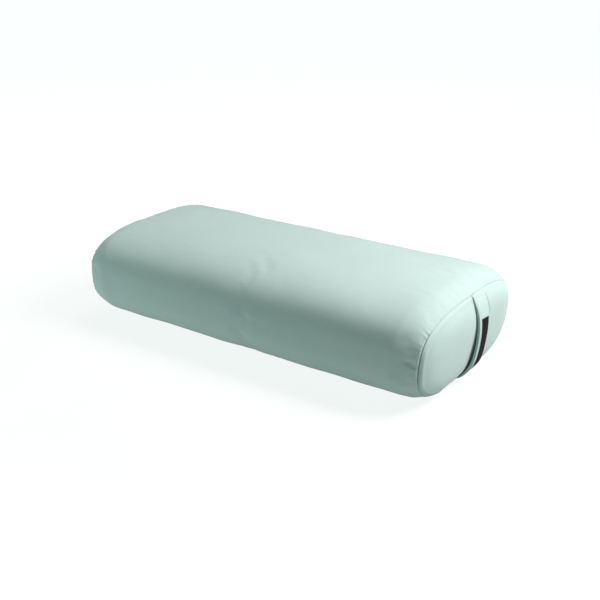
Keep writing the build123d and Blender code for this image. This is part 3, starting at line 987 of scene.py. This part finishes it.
COVER_COTTON = cotton("cover_cotton", MINT, 0.55 * MM)
STRAP_COTTON = cotton("strap_cotton", MINT, 0.6 * MM, sheen=0.2)
COVER_THREAD = thread("cover_thread", (0.47, 0.66, 0.60))
LABEL_WEAVE = label_weave()
LABEL_THREAD = thread("label_thread", (0.02, 0.02, 0.022), 0.8 * MM)
TAPE_WEAVE = tape_weave()
COIL_NYLON = nylon("zipper_coil", (0.46, 0.63, 0.575))
ZIPPER_METAL = nickel()
CARE_SATIN = satin("care_label_satin", (0.84, 0.84, 0.82))
LINER_COTTON = cotton("liner_cotton", CREAM, 0.7 * MM, sheen=0.15)
LINER_THREAD = thread("liner_thread", (0.72, 0.68, 0.58))
LINER_SATIN = satin("liner_label_satin", (0.82, 0.81, 0.78))
BATTING = batting_fibre()


# ---------------------------------------------------------------- stitches, sweeps and patches

def stitch_mesh(rows, length, width):
    """Many short stitches as one mesh: rows hold (centres, directions, normals) of the stitches."""
    sides, marks = 6, np.linspace(-1, 1, 7)
    points, faces = [], []
    turns = np.linspace(0, 2 * math.pi, sides, endpoint=False)
    radius = width / 2 * np.sqrt(np.maximum(1 - np.abs(marks) ** 3, 0.03))
    rise = -0.45 * width * np.abs(marks) ** 3
    total = 0
    for centres, directions, normals in rows:
        for centre, direction, normal in zip(centres, directions, normals):
            side = unit(np.cross(normal, direction))
            spine = centre + direction * (marks * length / 2)[:, None] + normal * rise[:, None]
            ring = side * np.cos(turns)[:, None] + normal * np.sin(turns)[:, None]
            tube = spine[:, None] + ring[None] * radius[:, None, None]
            index = numbered(tube, total)
            points.append(tube.reshape(-1, 3))
            faces += capped(index)
            total += index.size
    return np.concatenate(points), faces


def stitches(name, rows, length, width, material, body, replaced):
    points, faces = stitch_mesh(rows, length, width)
    return finish_piece(mesh_object(name, points, faces, closed=True), material, body, replaced)


def repeated(vector, centres):
    """One copy of a vector for each centre."""
    return np.repeat(np.array([vector], float), len(centres), 0)


def spaced(path, pitch, margin=0.0):
    """Points at even distances along a path, with their directions and their positions in the path."""
    run = running_length(path)
    count = max(1, int((run[-1] - 2 * margin) / pitch))
    marks = margin + (np.arange(count) + 0.5) * (run[-1] - 2 * margin) / count
    centres = np.stack([np.interp(marks, run, path[:, axis]) for axis in range(3)], -1)
    ahead = np.stack([np.interp(marks + 0.3 * MM, run, path[:, axis]) for axis in range(3)], -1)
    behind = np.stack([np.interp(marks - 0.3 * MM, run, path[:, axis]) for axis in range(3)], -1)
    return centres, unit(ahead - behind), np.interp(marks, run, np.arange(len(run)))


def wire(name, path, radius, sides, material, node):
    """A thread or wire along a path, as a thin closed-ended tube."""
    direction = unit(np.gradient(path, axis=0))
    hint = np.where(np.abs(direction[:, :1]) < 0.8, np.array([[1.0, 0, 0]]), np.array([[0, 0, 1.0]]))
    first = unit(np.cross(direction, hint))
    second = np.cross(direction, first)
    turns = np.linspace(0, 2 * math.pi, sides, endpoint=False)
    ring = first[:, None] * np.cos(turns)[None, :, None] + second[:, None] * np.sin(turns)[None, :, None]
    points = path[:, None] + ring * radius
    obj = mesh_object(name, points.reshape(-1, 3), capped(numbered(points)), closed=True)
    finish_piece(obj, material, "root", [node])


def shell(name, outer, inner, wrapped, material, slot, node):
    """A closed layer of cloth or batting between two grids of points."""
    index = numbered(outer)
    count = index.size
    grid = joined(index) if wrapped else index
    if wrapped:
        loops = [index[0], index[-1]]
    else:
        loops = [rim_of(index)]
    faces = [cells(grid), cells(grid, True) + count]
    for loop in loops:
        faces.append(cells(joined(np.stack([loop, loop + count]))))
    spread = running_length(joined(outer) if wrapped else outer, 1)
    run = running_length(joined(outer) if wrapped else outer, 0)
    uv = np.stack([spread, run], -1)
    corner_uvs = [cells(uv), cells(uv, True)]
    corner_uvs += [np.zeros((len(part), 4, 2)) for part in faces[2:]]
    points = np.concatenate([outer.reshape(-1, 3), inner.reshape(-1, 3)])
    obj = mesh_object(name, points, np.concatenate(faces), corner_uvs, closed=True)
    return finish_piece(obj, material, "root", [node])


def back_patch(x_range, z_range, depth, steps=(24, 24)):
    """Grid of points on the back of the wrap, at a depth below its surface."""
    x = np.linspace(*x_range, steps[0])
    y, z = section(angle_at(np.linspace(*z_range, steps[1])), depth=depth)
    return np.stack(np.broadcast_arrays(x[:, None], y[None], z[None]), -1)


# ---------------------------------------------------------------- strap handle

STRAP_HALF = 19 * MM
STRAP_STEP = 1.2 * MM
STRAP_MIDDLE_Y = 13.5 * MM
STRAP_MIDDLE_Z = 76.0 * MM
STRAP_SKEW = math.radians(6.5)
# The strap's route from the top seam to the bottom one: (x, z) in mm
STRAP_LINE = (
    (314.0, 139.4), (314.6, 139.8), (317.4, 137.6), (321.3, 131.8), (326.6, 121.7), (330.2, 110.5),
    (332.2, 97.0), (332.9, 82.0), (332.2, 66.0), (330.6, 52.0), (328.8, 43.0), (326.0, 35.0),
    (322.3, 28.2), (317.4, 21.2), (310.2, 14.4), (302.5, 12.5),
)
# A quarter of the strap's section, with its rounded edge: (across, outward) in mm
STRAP_PROFILE = (
    (0, 1.35), (6, 1.35), (11, 1.32), (14.2, 1.22), (15.0, 1.02), (15.5, 0.92), (16.0, 1.15), (16.8, 1.6),
    (17.8, 1.95), (18.6, 1.75), (19.0, 1.15), (18.8, 0.45), (17.7, 0.0),
)
STRAP_TWIST = 0.07
# The strap's share of its thickness where it is sewn in, and what its top end adds to its running length
SEWN_FLAT = 0.55
TOP_TUCK = 4.9 * MM
PANEL_CLEARANCE = 0.15 * MM
STITCH_COLUMN = 5
# For each half of the strap: a point by its sewn end, and a point further along the strap
UPPER_BLEND = ((0.314, 0.018, 0.134), (0.330, 0.015, 0.112))
LOWER_BLEND = ((0.311, 0.006, 0.015), (0.327, 0.008, 0.036))
STRAP_CURL = 1.0 * MM
CURL_START = 13.0 * MM
STITCH_ACROSS = 15.5 * MM
LABEL_HALF = 12.0 * MM
LABEL_SPAN = (106.0 * MM, 30.0 * MM)
LABEL_LIFT = 1.65 * MM
LABEL_PROFILE = (
    (0, 0.28), (9, 0.28), (11.2, 0.26), (11.8, 0.16), (12, 0), (11.8, -0.16), (11.2, -0.26), (9, -0.28),
)


def strap_frames():
    """Centre line of the strap with its directions across and outwards."""
    control = np.array(STRAP_LINE) * MM
    dense = cubic_weights(len(control), np.linspace(0, len(control) - 1, 600)) @ control
    run = running_length(dense)
    marks = np.linspace(0, run[-1], int(run[-1] / STRAP_STEP))
    x, z = np.interp(marks, run, dense[:, 0]), np.interp(marks, run, dense[:, 1])
    y = STRAP_MIDDLE_Y + (z - STRAP_MIDDLE_Z) * math.tan(STRAP_SKEW)
    line = np.stack([x, y, z], -1)
    along = unit(np.gradient(line, axis=0))
    outward = unit(np.stack([-along[:, 2], np.zeros(len(line)), along[:, 0]], -1))
    across = np.cross(outward, along)
    twist = STRAP_TWIST * np.sin(np.linspace(0, math.pi, len(line)))[:, None] ** 2
    across, outward = across - twist * outward, outward + twist * across
    return line, across, outward


def strap_outline():
    """The strap's cross-section, going round from the middle of its face."""
    quarter = np.array(STRAP_PROFILE) * MM
    back = quarter[-2::-1] * [1, -1]
    right = np.concatenate([quarter, back])
    right[:, 1] -= STRAP_CURL * (np.maximum(right[:, 0] - CURL_START, 0) / (STRAP_HALF - CURL_START)) ** 2
    left = right[-2:0:-1] * [-1, 1]
    return np.concatenate([right, left])


def swept(line, across, outward, outline, lift=0.0):
    """Grid of points of an outline carried along a line."""
    return (
        line[:, None]
        + across[:, None] * outline[None, :, :1]
        + outward[:, None] * (outline[None, :, 1:] + lift)
    )


def lift_off_panel(grid, from_end, panel):
    """How far each point of the strap moves out so that the strap's back lies on the end panel, not in it."""
    mesh = panel.data
    points = [point.co for point in mesh.vertices]
    surface = BVHTree.FromPolygons(points, [face.vertices for face in mesh.polygons])
    columns = grid.shape[1]
    behind = (columns // 2 - np.arange(columns)) % columns
    back = np.minimum(grid[..., 0], grid[:, behind, 0])
    lift = np.zeros(back.shape)
    for row, column in np.ndindex(*back.shape):
        start = Vector((2 * END_X, grid[row, column, 1], grid[row, column, 2]))
        spot = surface.ray_cast(start, Vector((-1, 0, 0)))[0]
        if spot is not None:
            lift[row, column] = max(spot.x + PANEL_CLEARANCE - back[row, column], 0)
    return lift * smooth_step(from_end, 6 * MM, 13 * MM)[:, None]


def ribbon(name, grid, material, nodes):
    """A closed-ended strip from a grid of outlines, with cloth coordinates."""
    closed = joined(grid)
    middle = closed[len(closed) // 2]
    u = np.broadcast_to(running_length(middle)[None], closed.shape[:2])
    v = np.broadcast_to(running_length(grid[:, 0])[:, None], closed.shape[:2])
    uv = np.stack([u, v], -1)
    ends = [uv[0, :-1][::-1], uv[-1, :-1]]
    obj = mesh_object(name, grid.reshape(-1, 3), capped(numbered(grid)), [cells(uv), *ends], closed=True)
    for cap in obj.data.polygons[-2:]:
        cap.use_smooth = False
    return finish_piece(obj, material, None, nodes)


def strap_handle(panel):
    """The strap in two halves that meet behind the label, its topstitching, and the label."""
    line, across, outward = strap_frames()
    outline = strap_outline()
    wobble = 0.25 * MM * np.sin(line[:, 2] / (11 * MM)) + 0.15 * MM * np.sin(line[:, 2] / (4.3 * MM) + 1)
    run = running_length(line)
    from_end = np.minimum(run + TOP_TUCK, run[-1] - run)
    plump = SEWN_FLAT + (1 - SEWN_FLAT) * smooth_step(from_end, 4 * MM, 22 * MM)
    grid = swept(line + across * wobble[:, None], across, outward * plump[:, None], outline)
    lift = lift_off_panel(grid, from_end, panel)
    grid[..., 0] += lift
    waist = int(np.argmin(np.abs(line[:, 2] - STRAP_MIDDLE_Z)))
    halves = (
        ("handle_strap_upper", slice(0, waist + 1), *UPPER_BLEND),
        ("handle_strap_lower", slice(waist, None), *LOWER_BLEND),
    )
    for name, part, start, end in halves:
        obj = ribbon(name, grid[part], STRAP_COTTON, ["handle_strap"])
        length = float(running_length(line[part])[-1])
        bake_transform(obj)
        rows = []
        for side in (-1, 1):
            path = line[part] + across[part] * (side * STITCH_ACROSS + wobble[part])[:, None]
            path = path + outward[part] * (0.85 * MM * plump[part])[:, None]
            path[:, 0] += lift[part, side * STITCH_COLUMN]
            centres, direction, place = spaced(path, 3.0 * MM, 1 * MM)
            normal = outward[part][np.round(place).astype(int)]
            rows.append((centres, direction, normal))
        seam = stitches(name.replace("strap", "topstitching"), rows, 2.3 * MM, 0.55 * MM, COVER_THREAD, None,
                        ["handle_topstitching"])
        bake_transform(seam)
    part = (line[:, 2] <= LABEL_SPAN[0]) & (line[:, 2] >= LABEL_SPAN[1])
    handle_label(line[part], across[part], outward[part])


def handle_label(line, across, outward):
    """The woven label on the strap, stitched down all round."""
    profile = np.array(LABEL_PROFILE) * MM
    ring = np.concatenate([profile, [[0, -0.28 * MM]], (profile * [-1, 1])[:0:-1]])
    grid = swept(line, across, outward, ring, LABEL_LIFT)
    label = ribbon("handle_label_woven", grid, LABEL_WEAVE, ["handle_label"])
    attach(label, "handle")
    float(running_length(line)[-1])
    rows = []
    raised = line + outward * (LABEL_LIFT + 0.34 * MM)
    inset = LABEL_HALF - 1.6 * MM
    for side in (-1, 1):
        centres, direction, place = spaced(raised + across * side * inset, 2.2 * MM, 1.6 * MM)
        rows.append((centres, direction, outward[np.round(place).astype(int)]))
    marks = np.linspace(-inset + MM, inset - MM, 10)
    for spot in (1, -2):
        centres = raised[spot] + across[spot] * marks[:, None]
        rows.append((centres, repeated(across[spot], centres), repeated(outward[spot], centres)))
    stitches("label_stitches", rows, 1.6 * MM, 0.35 * MM, LABEL_THREAD, "handle",
             ["label_stitching"])


# ---------------------------------------------------------------- zipper

COIL_PITCH = 1.6 * MM
COIL_RADIUS = 0.3 * MM
ZIP_STITCH_FROM_SLOT = 3.3 * MM
OUT_OF_BACK = (0.0, 1.0, 0.0)
TACK_SLANT = np.array([1.0, 0.0, 0.12])


def zipper_coil(name, side, node):
    """One side's coil: a flattened helix of nylon whose loops meet the other side's."""
    half = COIL_BOX[1][0]
    turns = int(2 * half / COIL_PITCH)
    t = np.linspace(0, turns, 14 * turns)
    phase = 2 * math.pi * t + (math.pi if side < 0 else 0)
    x = -half + COIL_PITCH * t
    reach = 1.65 * MM - 1.5 * MM * np.cos(phase)
    y = HALF_WIDTH - 0.4 * MM + 0.55 * MM * np.sin(phase)
    path = np.stack([x, y, ZIP_Z + side * reach], -1)
    wire(name, path, COIL_RADIUS, 6, COIL_NYLON, node)


def zipper():
    """Coils, stitching and bartacks, and the finishes of the zipper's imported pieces."""
    zipper_coil("zipper_coil_upper_wire", 1, "zipper_coil_upper")
    zipper_coil("zipper_coil_lower_wire", -1, "zipper_coil_lower")
    for side, word in ((1, "upper"), (-1, "lower")):
        rows = []
        for offset in (0, 3.6 * MM):
            z = ZIP_Z + side * (SLOT_HALF + ZIP_STITCH_FROM_SLOT + offset)
            y = float(section(angle_at(np.array(z)))[0])
            x = np.linspace(-SLOT_END, SLOT_END, 400)
            path = np.stack([x, np.full(400, y + 0.05 * MM), np.full(400, z)], -1)
            centres, direction, _ = spaced(path, 3.2 * MM)
            rows.append((centres, direction, repeated(OUT_OF_BACK, centres)))
        stitches(f"zipper_stitches_{word}", rows, 2.4 * MM, 0.5 * MM, COVER_THREAD, "root",
                 [f"zipper_stitching_{word}"])
    rows = []
    for end in (-1, 1):
        z = ZIP_Z + np.arange(-5.7, 5.8, 0.42) * MM
        x = end * (SLOT_END + 1.6 * MM) + 0.12 * MM * np.cos(np.arange(len(z)) * math.pi)
        y = section(angle_at(z))[0] + 0.12 * MM
        centres = np.stack([x, y, z], -1)
        rows.append((centres, repeated(unit(TACK_SLANT), centres), repeated(OUT_OF_BACK, centres)))
    stitches("zipper_bartack_stitches", rows, 2.6 * MM, 0.45 * MM, COVER_THREAD, "root",
             ["zipper_bartacks"])
    finishes = {
        "zipper_tape_upper": TAPE_WEAVE, "zipper_tape_lower": TAPE_WEAVE, "zipper_top_stops": ZIPPER_METAL,
        "zipper_bottom_stop": ZIPPER_METAL, "zipper_slider": ZIPPER_METAL, "zipper_pull_tab": ZIPPER_METAL,
        "closing_seam_threads": COVER_THREAD,
    }
    for node, material in finishes.items():
        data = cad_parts[node].data
        data.materials.clear()
        data.materials.append(material)


# ---------------------------------------------------------------- hidden layers

OVERLOCK_PITCH = 3.6 * MM
THREAD_RADIUS = 0.28 * MM


def seam_thread(name, ring, inward, node, material, depth):
    """Overlock thread zigzagging over a seam's raw edge."""
    dense = cubic_weights(len(ring), np.arange(0, len(ring), 1 / 16), True)
    path, inside = dense @ ring, dense @ inward
    run = running_length(path)
    turn = 2 * math.pi * run / OVERLOCK_PITCH
    path = path - inside * (depth + 0.9 * MM * np.sin(turn))[:, None]
    path[:, 0] += 0.7 * MM * np.cos(turn)
    path[:, 2] = np.maximum(path[:, 2], 1.5 * MM)
    wire(name, path, THREAD_RADIUS, 5, material, node)


def liner():
    """The inner bag: wrap, ends, overlocked seams and the hand-closed filling slit."""
    outer, inner = (wrap_points(depth) for depth in LINER_DEPTHS)
    wrap = shell("liner_wrap_cloth", outer, inner, True, LINER_COTTON, "liner_cotton", "liner_wrap")
    girth(outer, LINER_MIDDLE)
    for side, word in BOTH_ENDS:
        grids = [end_points(side, depth) for depth in LINER_DEPTHS]
        name = f"liner_end_{word}"
        end = shell(f"{name}_cloth", *grids, False, LINER_COTTON, "liner_cotton", name)
        ring = inner[-1 if side > 0 else 0]
        away = ring - np.array([0, 0, WIDEST])
        away[:, 0] = 0
        seam_thread(f"liner_overlock_{word}", ring, unit(away), f"liner_seam_thread_{word}", LINER_THREAD,
                    0.9 * MM)
    low = ZIP_Z - 38.2 * MM
    closing = back_patch((-90 * MM, 90 * MM), (low, ZIP_Z - 38.1 * MM), 4.3 * MM, (200, 2))[:, 0]
    centres, direction, _ = spaced(closing, 4.0 * MM)
    rows = [(centres, direction, repeated(OUT_OF_BACK, centres))]
    stitches("liner_closing_stitch_row", rows, 3.0 * MM, 0.45 * MM, LINER_THREAD, "root",
             ["liner_closing_stitches"])


def sewn_label(name, x_range, z_range, depth, material, slot, node):
    """A satin label lying flat between two layers of the back."""
    outer = back_patch(x_range, z_range, depth)
    inner = back_patch(x_range, z_range, depth + 0.3 * MM)
    label = shell(name, outer, inner, False, material, slot, node)


def sewn_labels():
    """The two blank labels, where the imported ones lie."""
    for name, depth, material, slot in (
        ("care_label", 2.4 * MM, CARE_SATIN, "care_label_satin"),
        ("liner_label", 4.0 * MM, LINER_SATIN, "liner_label_satin"),
    ):
        low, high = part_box(name)
        sewn_label(f"{name}_ribbon", (low[0], high[0]), (low[2], high[2]), depth, material, slot, name)


def fluff(points, height, seed):
    """Uneven, tufted surface of batting."""
    x, y, z = points[..., 0], points[..., 1], points[..., 2]
    wave = np.sin(x / (19 * MM) + seed) * np.sin(y / (13 * MM) + 2 * seed)
    wave += 0.6 * np.sin(x / (8 * MM) - seed + z / (10 * MM)) * np.sin(z / (9 * MM) + y / (11 * MM))
    return height * wave


def batting_wrap():
    """Flat batting rolled round the core."""
    rows = slice(4, -4)
    outer, inner = (wrap_points(depth)[rows] for depth in BATTING_DEPTHS)
    normals = grid_normals(outer, True)
    outer = outer - normals * (0.6 * MM + fluff(outer, 0.5 * MM, 1.0))[..., None]
    wrap = shell("batting_wrap_sheet", outer, inner, True, BATTING, "batting_cotton", "batting_wrap")


def batting_pad(side, word):
    """Pad of batting at one end: a crowned front, a rounded rim and a flat back."""
    rows = wrap_points(BATTING_DEPTHS[0])
    rim = rows[-4:] if side > 0 else rows[:4][::-1]
    front = end_points(side, BATTING_DEPTHS[0])
    front = front - np.array([side, 0, 0]) * (0.6 * MM + fluff(front, 0.4 * MM, 2.0 + side))[..., None]
    rim = rim - (rim - np.array([0, 0, WIDEST])) * [0, 0.006, 0.006]
    centre = rim[0].mean(0)
    back = [centre + (rim[0] - centre) * share for share in (0.05, 0.3, 0.55, 0.8, 0.95)]
    rings = np.concatenate([np.array(back), rim])
    index = numbered(rings)
    grid = end_grid(index[-1])
    inner = front[1:-1, 1:-1]
    grid[1:-1, 1:-1] = numbered(inner, index.size)
    faces = cells(joined(index)).tolist() + cells(grid).tolist() + [index[0].tolist()]
    points = np.concatenate([rings.reshape(-1, 3), inner.reshape(-1, 3)])
    pad = mesh_object(f"batting_pad_{word}", points, faces, closed=True)
    finish_piece(pad, BATTING, "root", [f"batting_end_pad_{word}"])


def core_layer(number):
    """One flat layer of the core: the core's section cut to a band of heights, with softened ends."""
    low = CORE_DEPTH + (number - 1) * (HEIGHT - 2 * CORE_DEPTH) / LAYER_COUNT + LAYER_GAP / 2
    high = low + (HEIGHT - 2 * CORE_DEPTH) / LAYER_COUNT - LAYER_GAP
    y, z = section(ANGLES, depth=CORE_DEPTH)
    right = np.abs(np.degrees(ANGLES) % 360 - 180) > 90
    order = np.argsort(z[right])
    z_cut = np.clip(z, low, high)
    width = np.interp(z_cut, z[right][order], y[right][order])
    y_cut = np.clip(y, -width, width)
    middle = np.array([0, (low + high) / 2])
    outline = np.stack([y_cut, z_cut], -1) - middle
    half = ROUND_START + 2 * MM
    stations = [(half, 0.02), (half, 0.6), (half - 0.4 * MM, 0.93), (half - 2.5 * MM, 0.985)]
    stations += [(x, 1.0) for x in np.linspace(half - 8 * MM, -half + 8 * MM, 70)]
    stations += [(-x, share) for x, share in reversed(stations[:4])]
    rings = [np.column_stack([np.full(len(outline), x), outline * share + middle]) for x, share in stations]
    rings = np.array(rings)
    rings[..., 2] += 0.1 * MM * np.sin(rings[..., 0] / (23 * MM) + number)
    index = numbered(rings)
    faces = cells(joined(index)).tolist() + [index[0].tolist(), index[-1].tolist()]
    layer = mesh_object(f"batting_core_{number}", rings.reshape(-1, 3), faces, closed=True)
    finish_piece(layer, BATTING, "root", [f"batting_layer_{number}"])


# ---------------------------------------------------------------- building the object

# Row of the fine wrap whose girth is worked out below
FULL_ROW = 120

wrap, WRAP_GRID = cover_wrap()
ends = {word: cover_end(side, f"cover_end_{word}") for side, word in BOTH_ENDS}
girth(WRAP_GRID, FULL_ROW)
for word, panel in ends.items():
    row = -1 if word == "front" else 0
    seam_thread(
        f"cover_overlock_{word}", COVER_POINTS[WRAP_INDEX[row]], COVER_NORMALS[WRAP_INDEX[row]],
        f"end_seam_thread_{word}", COVER_THREAD, SEAM_ALLOWANCE - 1 * MM,
    )
strap_handle(ends["front"])
zipper()
liner()
sewn_labels()
batting_wrap()
for side, word in BOTH_ENDS:
    batting_pad(side, word)
for number in range(1, LAYER_COUNT + 1):
    core_layer(number)


# ---------------------------------------------------------------- studio

FLOOR_HALF = 30
# Camera: azimuth and elevation in degrees, distance, shift right and up of the target, and focal length in mm
CAMERA_ANGLES = (34.92, 22.19)
CAMERA_DISTANCE = 1.49893
CAMERA_SHIFT = (0.0160, -0.01787)
CAMERA_LENS = 55.37
# Area lights: place, target, size, power and colour
LIGHTS = {
    "key": ((1.12, 0.34, 1.2), (0.2, 0.0, 0.08), (0.7, 0.7), 34.5, (1.0, 0.865, 0.88)),
    "top": ((0.05, 0.6, 1.9), (0.0, 0.0, 0.1), (1.6, 0.9), 18.8, (1.0, 0.885, 0.905)),
    "fill": ((-1.1, -0.75, 0.55), (-0.3, -0.1, 0.06), (0.6, 0.6), 3.4, (0.86, 1.0, 0.97)),
}


def area_light(name, place, target, size, power, colour):
    data = bpy.data.lights.new(name, "AREA")
    data.shape = "RECTANGLE"
    data.size, data.size_y = size
    data.energy = power
    data.color = colour
    light = bpy.data.objects.new(name, data)
    light.location = place
    light.rotation_euler = (Vector(target) - Vector(place)).to_track_quat("-Z", "Y").to_euler()
    bpy.context.scene.collection.objects.link(light)


def studio():
    """A white floor and backdrop, a key light over the front end, a broad top light and a weak fill."""
    corners = [(x * FLOOR_HALF, y * FLOOR_HALF, 0) for x, y in ((-1, -1), (1, -1), (1, 1), (-1, 1))]
    floor = mesh_object("studio_floor", corners, [(0, 1, 2, 3)])
    floor.data.materials.append(floor_paint())
    floor.location.z = -0.0003
    for name, values in LIGHTS.items():
        area_light(name, *values)
    world = bpy.data.worlds.new("studio")
    world.use_nodes = True
    tree = world.node_tree
    dim = tree.nodes["Background"]
    dim.inputs[0].default_value = (0.86, 1.0, 0.97, 1)
    dim.inputs[1].default_value = 0.05
    backdrop = tree.nodes.new("ShaderNodeBackground")
    backdrop.inputs[0].default_value = (*BACKDROP, 1)
    seen = tree.nodes.new("ShaderNodeLightPath")
    blend = tree.nodes.new("ShaderNodeMixShader")
    tree.links.new(seen.outputs["Is Camera Ray"], blend.inputs[0])
    tree.links.new(dim.outputs[0], blend.inputs[1])
    tree.links.new(backdrop.outputs[0], blend.inputs[2])
    tree.links.new(blend.outputs[0], tree.nodes["World Output"].inputs[0])
    bpy.context.scene.world = world
    bpy.context.scene.view_settings.view_transform = "Standard"


def camera():
    """Three-quarter view from above, at the front end."""
    azimuth, elevation = (math.radians(angle) for angle in CAMERA_ANGLES)
    back = Vector((
        math.sin(azimuth) * math.cos(elevation), -math.cos(azimuth) * math.cos(elevation), math.sin(elevation),
    ))
    right = Vector((math.cos(azimuth), math.sin(azimuth), 0))
    up = back.cross(right)
    centre = Vector((0, 0, HEIGHT / 2))
    place = centre + CAMERA_SHIFT[0] * right + CAMERA_SHIFT[1] * up + CAMERA_DISTANCE * back
    data = bpy.data.cameras.new("camera")
    data.lens = CAMERA_LENS
    data.sensor_width = 36
    made = bpy.data.objects.new("camera", data)
    made.matrix_world = Matrix((
        (right.x, up.x, back.x, place.x),
        (right.y, up.y, back.y, place.y),
        (right.z, up.z, back.z, place.z),
        (0, 0, 0, 1),
    ))
    bpy.context.scene.collection.objects.link(made)
    bpy.context.scene.camera = made


studio()
camera()
